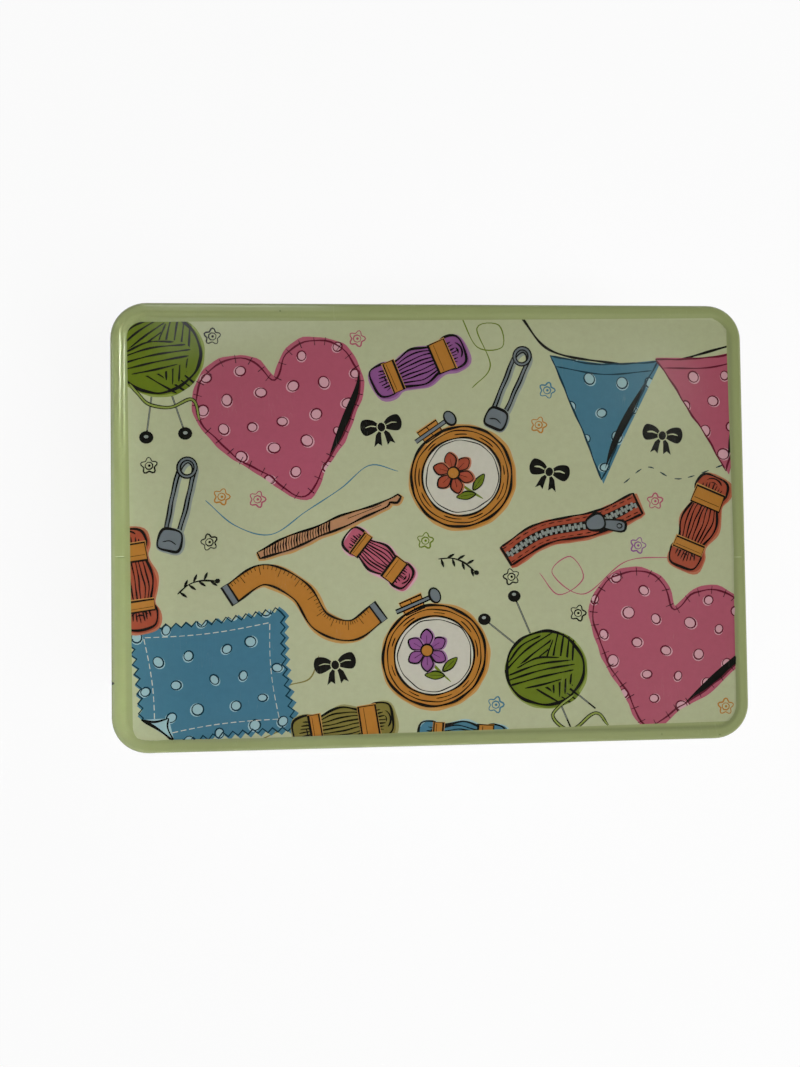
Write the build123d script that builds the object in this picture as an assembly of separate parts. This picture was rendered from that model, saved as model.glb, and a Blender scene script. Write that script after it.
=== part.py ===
from build123d import *

import os
from math import ceil, cos, radians, sin

# A rectangular storage tin of printed tinplate, with a lid that slips over it and lifts off.
# Frame: X along the length, Y from front to back, Z up, with the origin on the floor under the
# middle of the tin. Sizes are in millimetres and degrees.

# Overall sizes
lid_length = 200.0  # over the lid's skirt, left to right
lid_width = 139.0  # over the lid's skirt, front to back
lid_corner_radius = 11.2  # of the skirt's outer face, seen from above
tin_height = 70.0  # floor to the crest of the lid's rim
sheet = 0.28  # tinplate gauge
curl_flat_turn = 35.0  # most that one flat turns in the curls and the lid's underside
fold_flat_turn = 60.0  # most that one flat turns in the seams and the base

# The lid's pressed section
lid_depth = 17.0  # crest of the rim to the lowest point of the skirt
lid_curl_radius = 1.1  # outer radius of the curl that the skirt's edge is rolled into
lid_curl_turn = 300.0
shoulder_radius = 1.5  # outer radius between skirt and crest
crest_width = 1.2  # level top of the rim
step_crest_radius = 1.5  # top face, where the rim turns down to the panel
step_foot_radius = 1.2  # top face, where that slope meets the panel
step_angle = 50.0
lid_panel_margin = 1.0  # how far the rim's section reaches into the level panel

# The wall, a strip bent round and locked at the back
lid_clearance = 0.35  # between the skirt and the wall, and between the crest and the wall's curl
wall_curl_radius = 1.25  # outer radius of the curl that the wall's top edge is rolled into
wall_curl_turn = 300.0

# The lock seam that closes the strip at the middle of the back
lock_half_width = 4.5  # half of the stretch that the seam takes
lock_hook_length = 3.4  # straight length of each hook
lock_bend_radius = 0.3  # inside radius where the strip steps in
lock_step_angle = 45.0
lock_end_margin = 6.0  # plain wall from the seam to the lid's edge, and to the base's seam

# The double seam that joins wall and base
seam_gap = 0.03  # between neighbouring layers of a seam
seam_hook_lap = 1.5  # straight length of the two hooks that hold each other
seam_end_gap = 0.35  # between a hook's end and the fold that it reaches into
seam_floor_radius = 0.2  # inside radius of the base's two lower bends

# The base's panel
base_rise = 3.1  # floor to the underside of the panel's border
base_bend_radius = 0.6  # inside radius between the panel and the seam
base_margin = 2.0  # how far the bent sections reach into the level stretches
field_border = 16.0  # from the wall to the raised field
field_corner_radius = 9.0
field_rise = 0.9
field_bend_radius = 0.9
field_step_angle = 40.0

# Places that follow from the sizes above. "Out" is measured outwards from the skirt's outer face.
wall_out = -sheet - lid_clearance  # outer face of the wall
wall_length = lid_length + 2 * wall_out
wall_width = lid_width + 2 * wall_out
skirt_end = tin_height - lid_depth
seam_mouth = sheet + 2 * seam_gap  # opening of a fold that holds one sheet
wall_hook_floor = sheet + seam_gap  # floor to the underside of the wall's hook
wall_hook_height = wall_hook_floor + sheet + seam_mouth / 2  # where its straight part starts
seam_height = wall_hook_height + seam_hook_lap + seam_end_gap + sheet


class BentSheet:
    """A section through bent sheet, walked along its middle line in runs and bends.

    It is drawn in a plane whose first axis points outwards and whose second axis points up.
    Where the sheet's right face is the one in view, its bends are true arcs. Any other face is
    drawn in short flats through its bends.
    """

    def __init__(self, out, up, heading, flat_turn=fold_flat_turn, right_in_view=False):
        self.place = (out, up)
        self.heading = heading
        self.flat_turn = flat_turn
        self.right_in_view = right_in_view
        self.left_edges = []
        self.right_edges = []

    def beside(self, distance):
        """The point this far to the left of the middle line."""
        angle = radians(self.heading)
        return (self.place[0] - distance * sin(angle), self.place[1] + distance * cos(angle))

    def ahead(self, distance):
        """The point this far on along the middle line."""
        angle = radians(self.heading)
        return (self.place[0] + distance * cos(angle), self.place[1] + distance * sin(angle))

    def both_faces(self):
        return self.beside(sheet / 2), self.beside(-sheet / 2)

    def run(self, length):
        """Goes straight on."""
        left, right = self.both_faces()
        self.place = self.ahead(length)
        new_left, new_right = self.both_faces()
        self.left_edges.append(Line(left, new_left))
        self.right_edges.append(Line(right, new_right))
        return self

    def run_to_height(self, height):
        """Goes straight up or down as far as this height."""
        return self.run(abs(height - self.place[1]))

    def bend(self, inside_radius, angle):
        """Turns left by the angle, or right where it is negative, round the inside radius."""
        side = 1 if angle > 0 else -1
        middle_radius = inside_radius + sheet / 2
        centre = self.beside(side * middle_radius)
        first_heading = self.heading
        flats = ceil(abs(angle) / self.flat_turn)
        faces = [self.both_faces()]
        for _ in range(flats):
            self.heading += angle / flats
            out = radians(self.heading - side * 90)
            self.place = (
                centre[0] + middle_radius * cos(out),
                centre[1] + middle_radius * sin(out),
            )
            faces.append(self.both_faces())
        left_points, right_points = zip(*faces)
        self.left_edges.append(Polyline(*left_points))
        if self.right_in_view:
            tangent = (cos(radians(first_heading)), sin(radians(first_heading)))
            right_radius = middle_radius + side * sheet / 2
            self.right_edges.append(JernArc(right_points[0], tangent, right_radius, angle))
        else:
            self.right_edges.append(Polyline(*right_points))
        return self

    def section(self):
        """The closed face between the two sides."""
        first_end = Line(self.left_edges[0] @ 0, self.right_edges[0] @ 0)
        last_end = Line(self.left_edges[-1] @ 1, self.right_edges[-1] @ 1)
        return make_face([*self.left_edges, *self.right_edges, first_end, last_end])


def step_slope(rise, middle_radius, angle):
    """Straight length of a slope that climbs the rise between two bends of this radius."""
    return (rise - 2 * middle_radius * (1 - cos(radians(angle)))) / sin(radians(angle))


def carried_round(section, length, width, corner_radius):
    """Carries a section round a rounded rectangle: straight along the sides, turned at the corners."""
    upright = Rot(90, 0, 0) * section
    long_run = length - 2 * corner_radius
    short_run = width - 2 * corner_radius
    right_side = extrude(Pos(length / 2, -short_run / 2, 0) * upright, amount=short_run, dir=(0, 1, 0))
    turned = Rot(0, 0, 90) * upright
    back_side = extrude(Pos(long_run / 2, width / 2, 0) * turned, amount=long_run, dir=(-1, 0, 0))
    corner = revolve(
        Pos(length / 2, short_run / 2, 0) * upright,
        axis=Axis((long_run / 2, short_run / 2, 0), (0, 0, 1)),
        revolution_arc=90,
    )
    right_half = right_side + corner + mirror(corner, about=Plane.XZ)
    both_long_sides = back_side + mirror(back_side, about=Plane.XZ)
    return right_half + mirror(right_half, about=Plane.YZ) + both_long_sides


def level_panel(length, width, corner_radius, underside):
    """A level rounded rectangle of sheet with its lower face at this height."""
    return Pos(0, 0, underside) * extrude(RectangleRounded(length, width, corner_radius), amount=sheet)


def make_lid():
    """The lid: one pressing with a curled skirt, a round rim and a panel set below the rim."""
    curl_height = skirt_end + lid_curl_radius
    curl = BentSheet(-sheet / 2, curl_height, 270, curl_flat_turn, right_in_view=True)
    curl.bend(lid_curl_radius - sheet, lid_curl_turn)
    rim = BentSheet(-sheet / 2, curl_height, 90, curl_flat_turn, right_in_view=True)
    rim.run_to_height(tin_height - shoulder_radius)
    rim.bend(shoulder_radius - sheet, 90).run(crest_width)
    rim.bend(step_crest_radius - sheet, step_angle).bend(step_foot_radius, -step_angle)
    rim.run(lid_panel_margin)
    inset = -rim.place[0]
    panel = level_panel(
        lid_length - 2 * inset,
        lid_width - 2 * inset,
        lid_corner_radius - inset,
        rim.place[1] - sheet / 2,
    )
    section = rim.section() + curl.section()
    return carried_round(section, lid_length, lid_width, lid_corner_radius) + panel


def make_lock_seam(low, high):
    """The four layers where the two ends of the wall's strip hook into each other.

    The seam's plan is drawn from above, with its first axis along X and its second along Y, so
    that upwards in the plan is outwards through the back of the tin.
    """
    outer_layer = wall_width / 2 - sheet / 2
    layer_pitch = sheet + seam_gap

    # The end that comes from the right stays flush outside and folds back inside.
    flush = BentSheet(lock_half_width, outer_layer, 180)
    flush.run(lock_half_width + lock_hook_length / 2)
    flush.bend(seam_mouth / 2, 180).run(lock_hook_length)

    # The end that comes from the left steps in under three layers and folds back outwards.
    slope = step_slope(3 * layer_pitch, lock_bend_radius + sheet / 2, lock_step_angle)
    stepped = BentSheet(-lock_half_width, outer_layer, 0).run(seam_mouth)
    stepped.bend(lock_bend_radius, -lock_step_angle).run(slope)
    stepped.bend(lock_bend_radius, lock_step_angle)
    stepped.run(lock_hook_length / 2 - stepped.place[0])
    stepped.bend(seam_mouth / 2, 180).run(lock_hook_length)

    both_ends = extrude(flush.section(), amount=high - low) + extrude(stepped.section(), amount=high - low)
    return Pos(0, 0, low) * both_ends


def make_wall():
    """The wall: a strip with a curled top edge, a hooked lower edge and a lock seam at the back."""
    middle_out = wall_out - sheet / 2
    curl_height = tin_height - sheet - lid_clearance - wall_curl_radius
    curl = BentSheet(middle_out, curl_height, 90, curl_flat_turn)
    curl.bend(wall_curl_radius - sheet, wall_curl_turn)
    side = BentSheet(middle_out, curl_height, 270).run_to_height(wall_hook_height)
    side.bend(seam_mouth / 2, 180).run(seam_hook_lap)
    section = side.section() + curl.section()
    wall = carried_round(section, lid_length, lid_width, lid_corner_radius)

    low = seam_height + lock_end_margin
    high = skirt_end - lock_end_margin
    seam_stretch = Pos(0, wall_width / 2 - sheet / 2, (low + high) / 2) * Box(
        2 * lock_half_width, 2 * sheet, high - low
    )
    return wall - seam_stretch + make_lock_seam(low, high)


def make_base():
    """The base: a stepped panel set in from below, its edge folded round the wall's hook."""
    leg_out = wall_out - sheet - seam_gap - sheet / 2
    wrapped_width = 2 * sheet + seam_mouth + 2 * seam_gap
    border_middle = base_rise + sheet / 2
    inset = base_margin + base_bend_radius + sheet / 2 - leg_out
    edge = BentSheet(-inset, border_middle, 0).run(base_margin)
    edge.bend(base_bend_radius, -90).run_to_height(sheet + seam_floor_radius)
    edge.bend(seam_floor_radius, 90).run(wrapped_width - 2 * seam_floor_radius)
    edge.bend(seam_floor_radius, 90).run_to_height(seam_height - sheet - seam_mouth / 2)
    edge.bend(seam_mouth / 2, 180).run(seam_hook_lap)
    edge_ring = carried_round(edge.section(), lid_length, lid_width, lid_corner_radius)

    field_length = wall_length - 2 * field_border
    field_width = wall_width - 2 * field_border
    slope = step_slope(field_rise, field_bend_radius + sheet / 2, field_step_angle)
    step = BentSheet(base_margin, border_middle, 180).run(base_margin)
    step.bend(field_bend_radius, -field_step_angle).run(slope)
    step.bend(field_bend_radius, field_step_angle).run(base_margin)
    step_ring = carried_round(step.section(), field_length, field_width, field_corner_radius)

    border = level_panel(
        lid_length - 2 * inset,
        lid_width - 2 * inset,
        lid_corner_radius - inset,
        base_rise,
    ) - level_panel(
        field_length + 2 * base_margin,
        field_width + 2 * base_margin,
        field_corner_radius + base_margin,
        base_rise,
    )
    field_inset = -step.place[0]
    field = level_panel(
        field_length - 2 * field_inset,
        field_width - 2 * field_inset,
        field_corner_radius - field_inset,
        base_rise + field_rise,
    )
    return edge_ring + border + step_ring + field


os.makedirs("parts", exist_ok=True)
for node, make in {"lid": make_lid, "wall": make_wall, "base": make_base}.items():
    export_step(make(), f"parts/{node}.step")
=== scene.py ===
"""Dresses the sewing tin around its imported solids.

The three pressed pieces keep their solids. The lid and the wall get enamel on the outer side of
their sheet and bare tinplate on the inner side, and the base is bare tinplate. The print on the
lid is a piece of its own, a film of ink and varnish that lies on the lid's panel and is cut from
the drawing that the Artwork class collects.

Lengths are in millimetres and angles in degrees unless a comment says otherwise. A point of a
plan or of the drawing is a complex number, x + yj.
"""

import cmath
import logging
import math
import random
from collections.abc import Iterable, Sequence
from dataclasses import dataclass, field
from enum import Enum
from itertools import product

import bpy
from mathutils import Matrix, Vector
from mathutils.geometry import delaunay_2d_cdt


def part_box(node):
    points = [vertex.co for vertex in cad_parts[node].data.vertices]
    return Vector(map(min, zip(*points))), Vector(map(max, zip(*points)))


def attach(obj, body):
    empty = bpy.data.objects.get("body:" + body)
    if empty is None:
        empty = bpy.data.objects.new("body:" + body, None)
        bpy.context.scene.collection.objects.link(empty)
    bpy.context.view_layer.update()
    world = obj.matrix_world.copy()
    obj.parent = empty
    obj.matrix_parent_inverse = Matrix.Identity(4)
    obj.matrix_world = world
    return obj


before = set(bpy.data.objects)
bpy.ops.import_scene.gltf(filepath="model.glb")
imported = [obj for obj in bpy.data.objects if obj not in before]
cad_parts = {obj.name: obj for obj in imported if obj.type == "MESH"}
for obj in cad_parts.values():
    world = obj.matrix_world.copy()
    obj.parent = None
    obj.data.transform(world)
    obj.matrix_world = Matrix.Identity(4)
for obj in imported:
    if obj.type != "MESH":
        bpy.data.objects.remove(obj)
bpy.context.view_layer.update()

log = logging.getLogger("sewing_tin")

MM = 0.001
NO_LENGTH = 1e-9
NO_AREA = 1e-4

Outline = list[complex]
Socket = bpy.types.NodeSocket


def linear(colour: tuple[int, int, int]) -> tuple[float, float, float, float]:
    """The linear colour of a colour given as sRGB bytes."""
    shares = (part / 255 for part in colour)
    return (*(s / 12.92 if s <= 0.04045 else ((s + 0.055) / 1.055) ** 2.4 for s in shares), 1.0)


# ---------------------------------------------------------------------------------------------
# Lines
# ---------------------------------------------------------------------------------------------


def twice_area(outline: Sequence[complex]) -> float:
    """Twice the area of an outline, above 0 where it runs anticlockwise."""
    return sum((a.conjugate() * b).imag for a, b in zip(outline, outline[1:] + outline[:1]))


def length_of(path: Sequence[complex]) -> float:
    """The length of an open path."""
    return sum(abs(b - a) for a, b in zip(path, path[1:]))


def smooth(knots: Sequence[complex], closed: bool = False, step: float = 1.1) -> Outline:
    """Draws a smooth line through knots.

    Args:
        knots: points that the line passes.
        closed: whether it runs back to its start.
        step: about how far apart its points lie.

    Returns:
        The line's points. A closed line doesn't repeat its first one.
    """
    if closed:
        around = [knots[-1], *knots, knots[0], knots[1]]
    else:
        around = [2 * knots[0] - knots[1], *knots, 2 * knots[-1] - knots[-2]]
    line: Outline = []
    for before, start, end, after in zip(around, around[1:], around[2:], around[3:]):
        bend = before - 2.5 * start + 2 * end - 0.5 * after
        twist = -0.5 * before + 1.5 * start - 1.5 * end + 0.5 * after
        pieces = max(2, math.ceil(abs(end - start) / step))
        for t in (k / pieces for k in range(pieces)):
            line.append(start + 0.5 * t * (end - before) + t * t * bend + t**3 * twist)
    return line if closed else line + [knots[-1]]


def oval(
    middle: complex, wide: float, high: float, start: float = 0, sweep: float = 360
) -> Outline:
    """The points of an oval, or of a stretch of one from start over sweep degrees.

    Args:
        middle: its middle.
        wide: half its width.
        high: half its height.
        start: where the stretch starts, anticlockwise from the right.
        sweep: how far the stretch runs on from there.

    Returns:
        The points. A whole oval doesn't repeat its first one.
    """
    pieces = max(7, math.ceil(math.radians(abs(sweep)) * math.sqrt(wide * high) / 0.9))
    turns = pieces if abs(sweep) == 360 else pieces + 1
    angles = (math.radians(start + sweep * k / pieces) for k in range(turns))
    return [middle + complex(wide * math.cos(a), high * math.sin(a)) for a in angles]


def ray(angle: float, length: float = 1.0) -> complex:
    """The point at a length from the origin, at an angle anticlockwise from the right."""
    return cmath.rect(length, math.radians(angle))


def leaf(root: complex, way: float, spread: float, side: float, long: float) -> Outline:
    """The knots of a leaf or petal that points one way and is widest at its two side knots."""
    tips = ((way + spread, side), (way, long), (way - spread, side))
    return [root, *(root + ray(angle, length) for angle, length in tips)]


def mirrored(points: Iterable[complex], side: int = -1) -> Outline:
    """Points moved over to the left of the upright axis, or left alone where side is 1."""
    return [complex(side * p.real, p.imag) for p in points]


def headings(path: Sequence[complex], closed: bool) -> list[complex]:
    """The direction of a path at each of its points, as numbers of length 1.

    Args:
        path: the path.
        closed: whether it runs back to its start.

    Returns:
        A direction for each point.
    """
    ends = (path[-1], path[0]) if closed else (path[0], path[-1])
    around = [ends[0], *path, ends[1]]
    runs = (after - before for before, after in zip(around, around[2:]))
    return [run / abs(run) if abs(run) > NO_LENGTH else complex(1, 0) for run in runs]


def beside(path: Sequence[complex], ways: Sequence[complex], by: float) -> Outline:
    """A path moved to its left by a distance, along its own headings."""
    return [p + 1j * by * way for p, way in zip(path, ways)]


def grown(outline: Sequence[complex], by: float) -> Outline:
    """An anticlockwise outline moved outwards by a distance."""
    return beside(outline, headings(outline, True), -by)


def encloses(outline: Sequence[complex], point: complex) -> bool:
    """Whether an outline goes round a point.

    Args:
        outline: the outline.
        point: the point.

    Returns:
        True where it does.
    """
    crossings = 0
    for a, b in zip(outline, outline[1:] + outline[:1]):
        if (a.imag > point.imag) != (b.imag > point.imag):
            reach = a.real + (point.imag - a.imag) * (b.real - a.real) / (b.imag - a.imag)
            crossings += reach > point.real
    return crossings % 2 == 1


def between(start: complex, end: complex, step: float) -> Outline:
    """Points between two others, about a step apart."""
    pieces = max(1, round(abs(end - start) / step))
    return [start + (end - start) * k / pieces for k in range(1, pieces)]


@dataclass(frozen=True)
class Plan:
    """A rounded rectangle round the tin's upright axis.

    Args:
        length: its size along X.
        width: its size along Y.
        corner: its corner radius.
    """

    length: float
    width: float
    corner: float

    @property
    def core(self) -> complex:
        """The centre of the rounding of its back right corner."""
        return complex(self.length / 2 - self.corner, self.width / 2 - self.corner)

    def inset(self, by: float) -> "Plan":
        """The plan that lies this far inside."""
        return Plan(self.length - 2 * by, self.width - 2 * by, self.corner - by)

    def distance(self, point: complex) -> float:
        """How far a point lies outside the plan, below 0 inside it.

        Args:
            point: the point.

        Returns:
            The distance.
        """
        over, beyond = abs(point.real) - self.core.real, abs(point.imag) - self.core.imag
        reach = abs(complex(max(over, 0), max(beyond, 0)))
        return reach + min(max(over, beyond), 0) - self.corner

    def outline(self, step: float) -> Outline:
        """Its points, anticlockwise, about a step apart along the sides and 9 at a corner.

        Args:
            step: how far apart the points of a side lie.

        Returns:
            The points.
        """
        found: Outline = []
        for k, (x, y) in enumerate(((1, 1), (-1, 1), (-1, -1), (1, -1))):
            middle = complex(x * self.core.real, y * self.core.imag)
            arc = [middle + ray(90 * (k + i / 8), self.corner) for i in range(9)]
            if found:
                found += between(found[-1], arc[0], step)
            found += arc
        return found + between(found[-1], found[0], step)


# ---------------------------------------------------------------------------------------------
# The drawing
# ---------------------------------------------------------------------------------------------


class Ink(Enum):
    """The inks of the print, as sRGB bytes in plain light."""

    GROUND = (164, 169, 131)
    PINK = (157, 78, 93)
    PINK_PALE = (190, 146, 150)
    PINK_DEEP = (84, 22, 36)
    BLUE = (62, 107, 121)
    BLUE_PALE = (138, 168, 166)
    BLUE_DEEP = (16, 42, 50)
    OCHRE = (160, 108, 42)
    OCHRE_PALE = (172, 130, 68)
    PURPLE = (124, 74, 120)
    PURPLE_PALE = (142, 102, 136)
    RUST = (144, 66, 44)
    RUST_PALE = (162, 98, 68)
    OLIVE = (112, 104, 48)
    OLIVE_PALE = (136, 132, 80)
    LEAF = (92, 108, 24)
    LEAF_PALE = (124, 138, 62)
    STEEL = (98, 106, 106)
    STEEL_PALE = (126, 134, 124)
    TAN = (160, 118, 82)
    PAPER = (180, 178, 158)
    LINE = (17, 17, 13)


@dataclass(frozen=True)
class Patch:
    """A patch of one ink.

    Args:
        outline: its corners, anticlockwise.
        ink: the ink that it prints.
        within: the number of the patch that it is cut off by, or None.
    """

    outline: tuple[complex, ...]
    ink: Ink
    within: int | None = None


class Artwork:
    """The print as patches, in the order in which they are printed.

    Args:
        seed: what the unsteadiness of the hand is drawn from.
    """

    slow_wave, quick_wave, swell_wave = 19, 7, 11
    quick_share = 0.45
    tip, taper = 0.42, 3

    def __init__(self, seed: int) -> None:
        """Starts with nothing printed."""
        self.hand = random.Random(seed)
        self.patches: list[Patch] = []

    def area(self, outline: Sequence[complex], ink: Ink, within: int | None = None) -> int:
        """Prints a patch and returns its number, or the last number where it has no area.

        Args:
            outline: its corners, in either direction.
            ink: its ink.
            within: the number of the patch that it is cut off by, or None.

        Returns:
            The number.
        """
        turned = twice_area(list(outline))
        if abs(turned) > NO_AREA:
            corners = tuple(outline) if turned > 0 else tuple(reversed(outline))
            self.patches.append(Patch(corners, ink, within))
        return len(self.patches) - 1

    def unsteady(self, path: Sequence[complex], amount: float) -> Outline:
        """Lets a path wander by about an amount, as a hand does.

        Args:
            path: the path.
            amount: about how far it wanders.

        Returns:
            The path that the hand follows.
        """
        total = length_of(path) + abs(path[-1] - path[0])
        slow = max(1, round(total / self.slow_wave))
        quick = max(2, round(total / self.quick_wave))
        phases = [self.hand.uniform(0, math.tau) for _ in range(4)]
        moved, run = [], 0.0
        for i, point in enumerate(path):
            run += abs(point - path[i - 1]) if i else 0
            turn = math.tau * run / total
            x, y = (math.sin(slow * turn + phase) for phase in phases[:2])
            u, v = (math.sin(quick * turn + phase) for phase in phases[2:])
            moved.append(point + amount * (complex(x, y) + self.quick_share * complex(u, v)))
        return moved

    def line(
        self,
        path: Sequence[complex],
        width: float,
        ink: Ink = Ink.LINE,
        closed: bool = False,
        within: int | None = None,
        swell: float = 0.28,
    ) -> None:
        """Draws a pen line that swells and thins.

        Args:
            path: the points that it follows.
            width: its width.
            ink: its ink.
            closed: whether it runs back to its start. An open line thins towards its ends.
            within: the number of the patch that it is cut off by.
            swell: the share of its width that it swells and thins by.
        """
        total = length_of(path)
        waves = max(1, round(total / self.swell_wave)) if closed else total / self.swell_wave
        phase = self.hand.uniform(0, math.tau)
        edges, run = [], 0.0
        for i, (point, heading) in enumerate(zip(path, headings(path, closed))):
            run += abs(point - path[i - 1]) if i else 0
            half = 0.5 * width * (1 + swell * math.sin(math.tau * waves * run / total + phase))
            if not closed:
                half *= min(1.0, self.tip + min(run, total - run) / (self.taper * width))
            edges.append((point + 1j * half * heading, point - 1j * half * heading))
        followers = edges[1:] + edges[:1] if closed else edges[1:]
        for (left, right), (next_left, next_right) in zip(edges, followers):
            parts = [[right, next_right, next_left], [right, next_left, left]]
            if all(twice_area(part) > 0 for part in parts):
                parts = [[right, next_right, next_left, left]]
            for part in parts:
                self.area(part, ink, within)

    def contour(
        self, outline: Sequence[complex], wander: float, width: float, ink: Ink = Ink.LINE
    ) -> None:
        """Draws a line round an outline, with a hand that wanders."""
        self.line(self.unsteady(outline, wander), width, ink, True)

    def inked(
        self, outline: Sequence[complex], ink: Ink, width: float, line: Ink = Ink.LINE
    ) -> None:
        """Prints a patch with a line of a width round it."""
        self.area(outline, ink)
        self.line(outline, width, line, True)

    def wash(
        self, outline: Sequence[complex], ink: Ink, pale: Ink, spread: float, slip: complex = 0
    ) -> int:
        """Prints a colour a little larger than its drawing and off register, with a paler rim.

        Args:
            outline: the drawing's outline, anticlockwise.
            ink: the colour.
            pale: the colour of the rim.
            spread: how far the rim runs over the drawing.
            slip: how far the colour lies off register.

        Returns:
            The number of the rim's patch, which holds the whole.
        """
        rim = self.area(self.unsteady([p + slip for p in grown(outline, spread)], 0.16), pale)
        inner = grown(outline, spread * 0.42)
        self.area(self.unsteady([p + slip for p in inner], 0.16), ink, rim)
        return rim


@dataclass
class Motif:
    """A thing drawn on the print.

    Args:
        at: its middle on the print.
        turn: how far it is turned anticlockwise.
        size: how much larger it is than drawn.
    """

    at: complex
    turn: float = 0.0
    size: float = 1.0

    def put(self, points: Iterable[complex]) -> Outline:
        """Points of the motif's own drawing, placed on the print."""
        spin = self.size * ray(self.turn)
        return [self.at + spin * p for p in points]

    def curve(
        self, knots: Sequence[complex], closed: bool = False, step: float = 1.1
    ) -> Outline:
        """A smooth line through knots of the motif's own drawing, placed on the print."""
        return self.put(smooth(knots, closed, step))

    def disc(self, middle: complex, wide: float, high: float) -> Outline:
        """An oval of the motif's own drawing, placed on the print."""
        return self.put(oval(middle, wide, high))

    def draw(self, art: Artwork) -> None:
        """Prints the motif."""
        raise NotImplementedError


@dataclass
class DottedCloth(Motif):
    """A cut piece of cloth with polka dots.

    Args:
        ink: the colour of the cloth.
        pale: the colour of its dots.
        deep: the colour of its drawn lines.
    """

    ink: Ink = Ink.PINK
    pale: Ink = Ink.PINK_PALE
    deep: Ink = Ink.PINK_DEEP
    pitch = 10.0

    def edge(self) -> Outline:
        """The outline of the cloth in its own drawing."""
        raise NotImplementedError

    def dots(self, art: Artwork, cloth: int, reach: float) -> None:
        """Prints the dots over the cloth, cut off by its edge.

        Args:
            art: the print.
            cloth: the number of the cloth's patch.
            reach: how far from its middle the cloth reaches.
        """
        edge, any_of = self.put(self.edge()), art.hand.uniform
        rows = math.ceil(reach / self.pitch)
        for row, column in product(range(-rows, rows + 1), repeat=2):
            spot = complex(column + (0.5 if row % 2 else 0), row * 0.86) * self.pitch
            spot += complex(any_of(-1, 1), any_of(-1, 1)) * 0.12 * self.pitch
            middle = self.put([spot])[0]
            wide = any_of(1.45, 1.95) * self.size
            high = wide * any_of(0.78, 0.98)
            lean = ray(any_of(0, 180))
            disc = [middle + lean * p for p in oval(0, wide * 1.16, high * 1.16)]
            if any(encloses(edge, p) for p in disc[::2]):
                art.area(disc, self.pale, cloth)
                ring = oval(0.3, wide * 0.98, high * 0.98)
                art.line([middle + lean * p for p in ring], 0.42, self.deep, True, cloth)


@dataclass
class Heart(DottedCloth):
    """A heart cut from dotted cloth, with a blanket stitch round its edge."""

    def edge(self) -> Outline:
        """The outline of the heart, anticlockwise from its tip."""
        half = [-25j, 9 - 16.5j, 19 - 6j, 25.5 + 6j, 23 + 17j, 13.5 + 22j, 5 + 19.5j]
        return smooth(half + [12.5j] + mirrored(reversed(half[1:])), True, 1.6)

    def draw(self, art: Artwork) -> None:
        """Prints the heart, with a dark fold near its right side.

        Args:
            art: the print.
        """
        edge = self.put(self.edge())
        cloth = art.area(art.unsteady(grown(edge, 1.3 * self.size), 0.25), self.ink)
        self.dots(art, cloth, 34)
        shade = self.put([p for p in self.edge() if p.real > 9 and -17 < p.imag < 9])
        arch = [math.sin(math.pi * i / (len(shade) - 1)) for i in range(len(shade))]
        fold = [p + 2.7 * self.size * a * ray(self.turn + 152) for p, a in zip(shade, arch)]
        art.area(shade + fold[::-1], Ink.LINE, cloth)
        seam = art.unsteady(edge, 0.2)
        art.line(seam, 0.5, self.deep, True)
        self.stitches(art, grown(seam, -0.4 * self.size))

    def stitches(self, art: Artwork, edge: Outline) -> None:
        """Draws the short stitches that stand on the edge.

        Args:
            art: the print.
            edge: the edge, placed on the print.
        """
        run, due = 0.0, 2.0
        for before, here in zip(edge, edge[1:]):
            run += abs(here - before)
            if run > due:
                due += 4.2 * self.size
                lean = 1j * (here - before) / abs(here - before) * ray(art.hand.uniform(-9, 9))
                art.line([here - 1.5 * self.size * lean, here + 1.1 * self.size * lean], 0.5)


@dataclass
class Swatch(DottedCloth):
    """A four-sided cutting with pinked edges and a turned-over corner.

    Args:
        wide: its width.
        high: its height.
    """

    wide: float = 46.0
    high: float = 36.0
    tooth = 3.1

    def edge(self) -> Outline:
        """The outline, with a row of teeth along each side.

        Returns:
            The outline, anticlockwise.
        """
        shares = (-0.52 - 0.46j, 0.47 - 0.52j, 0.53 + 0.44j, -0.47 + 0.52j)
        corners = [complex(s.real * self.wide, s.imag * self.high) for s in shares]
        outline: Outline = []
        for start, end in zip(corners, corners[1:] + corners[:1]):
            side = end - start
            teeth = round(abs(side) / self.tooth)
            out = -1j * side / abs(side)
            for k in range(teeth):
                bow = 1.3 * math.sin(math.pi * k / teeth)
                outline.append(start + side * k / teeth - bow * out)
                outline.append(start + side * (k + 0.5) / teeth + (1.5 - bow) * out)
        return outline

    def draw(self, art: Artwork) -> None:
        """Prints the cutting, its dots, its edge and a row of running stitches.

        Args:
            art: the print.
        """
        outline = self.edge()
        under = self.put([1.035 * p for p in outline])
        cloth = art.area([p + 0.5 - 0.4j for p in under], self.ink)
        self.dots(art, cloth, max(self.wide, self.high) * 0.72)
        art.line(self.put(outline), 0.55, self.deep, True, swell=0.15)
        inner = self.put([0.84 * p for p in outline[::2]])
        for start, end in zip(inner, inner[1:] + inner[:1]):
            gap = 0.16 * (end - start)
            art.line([start + gap, end - gap], 0.55, Ink.PAPER, within=cloth)
        self.turned_corner(art, outline[0])

    def turned_corner(self, art: Artwork, tip: complex) -> None:
        """Prints the corner that is turned over at the cloth's tip.

        Args:
            art: the print.
            tip: the tip, in the cloth's own drawing.
        """
        right, top, left = tip + 9.5, tip + 9 + 7.5j, tip + 0.8 + 8.6j
        art.area(self.put([tip - 4 - 4j, right - 3j, right, left, tip - 3 + 9j]), Ink.GROUND)
        art.area(self.put([right, top, left]), self.pale)
        folds = (
            (right, 8.2 + 4.6j, top, 0.6),
            (top, 4.6 + 7.2j, left, 0.6),
            (right, 5.2 + 4.9j, left, 0.8),
        )
        for start, bend, end, width in folds:
            art.line(self.curve([start, tip + bend, end], step=1), width)


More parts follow.
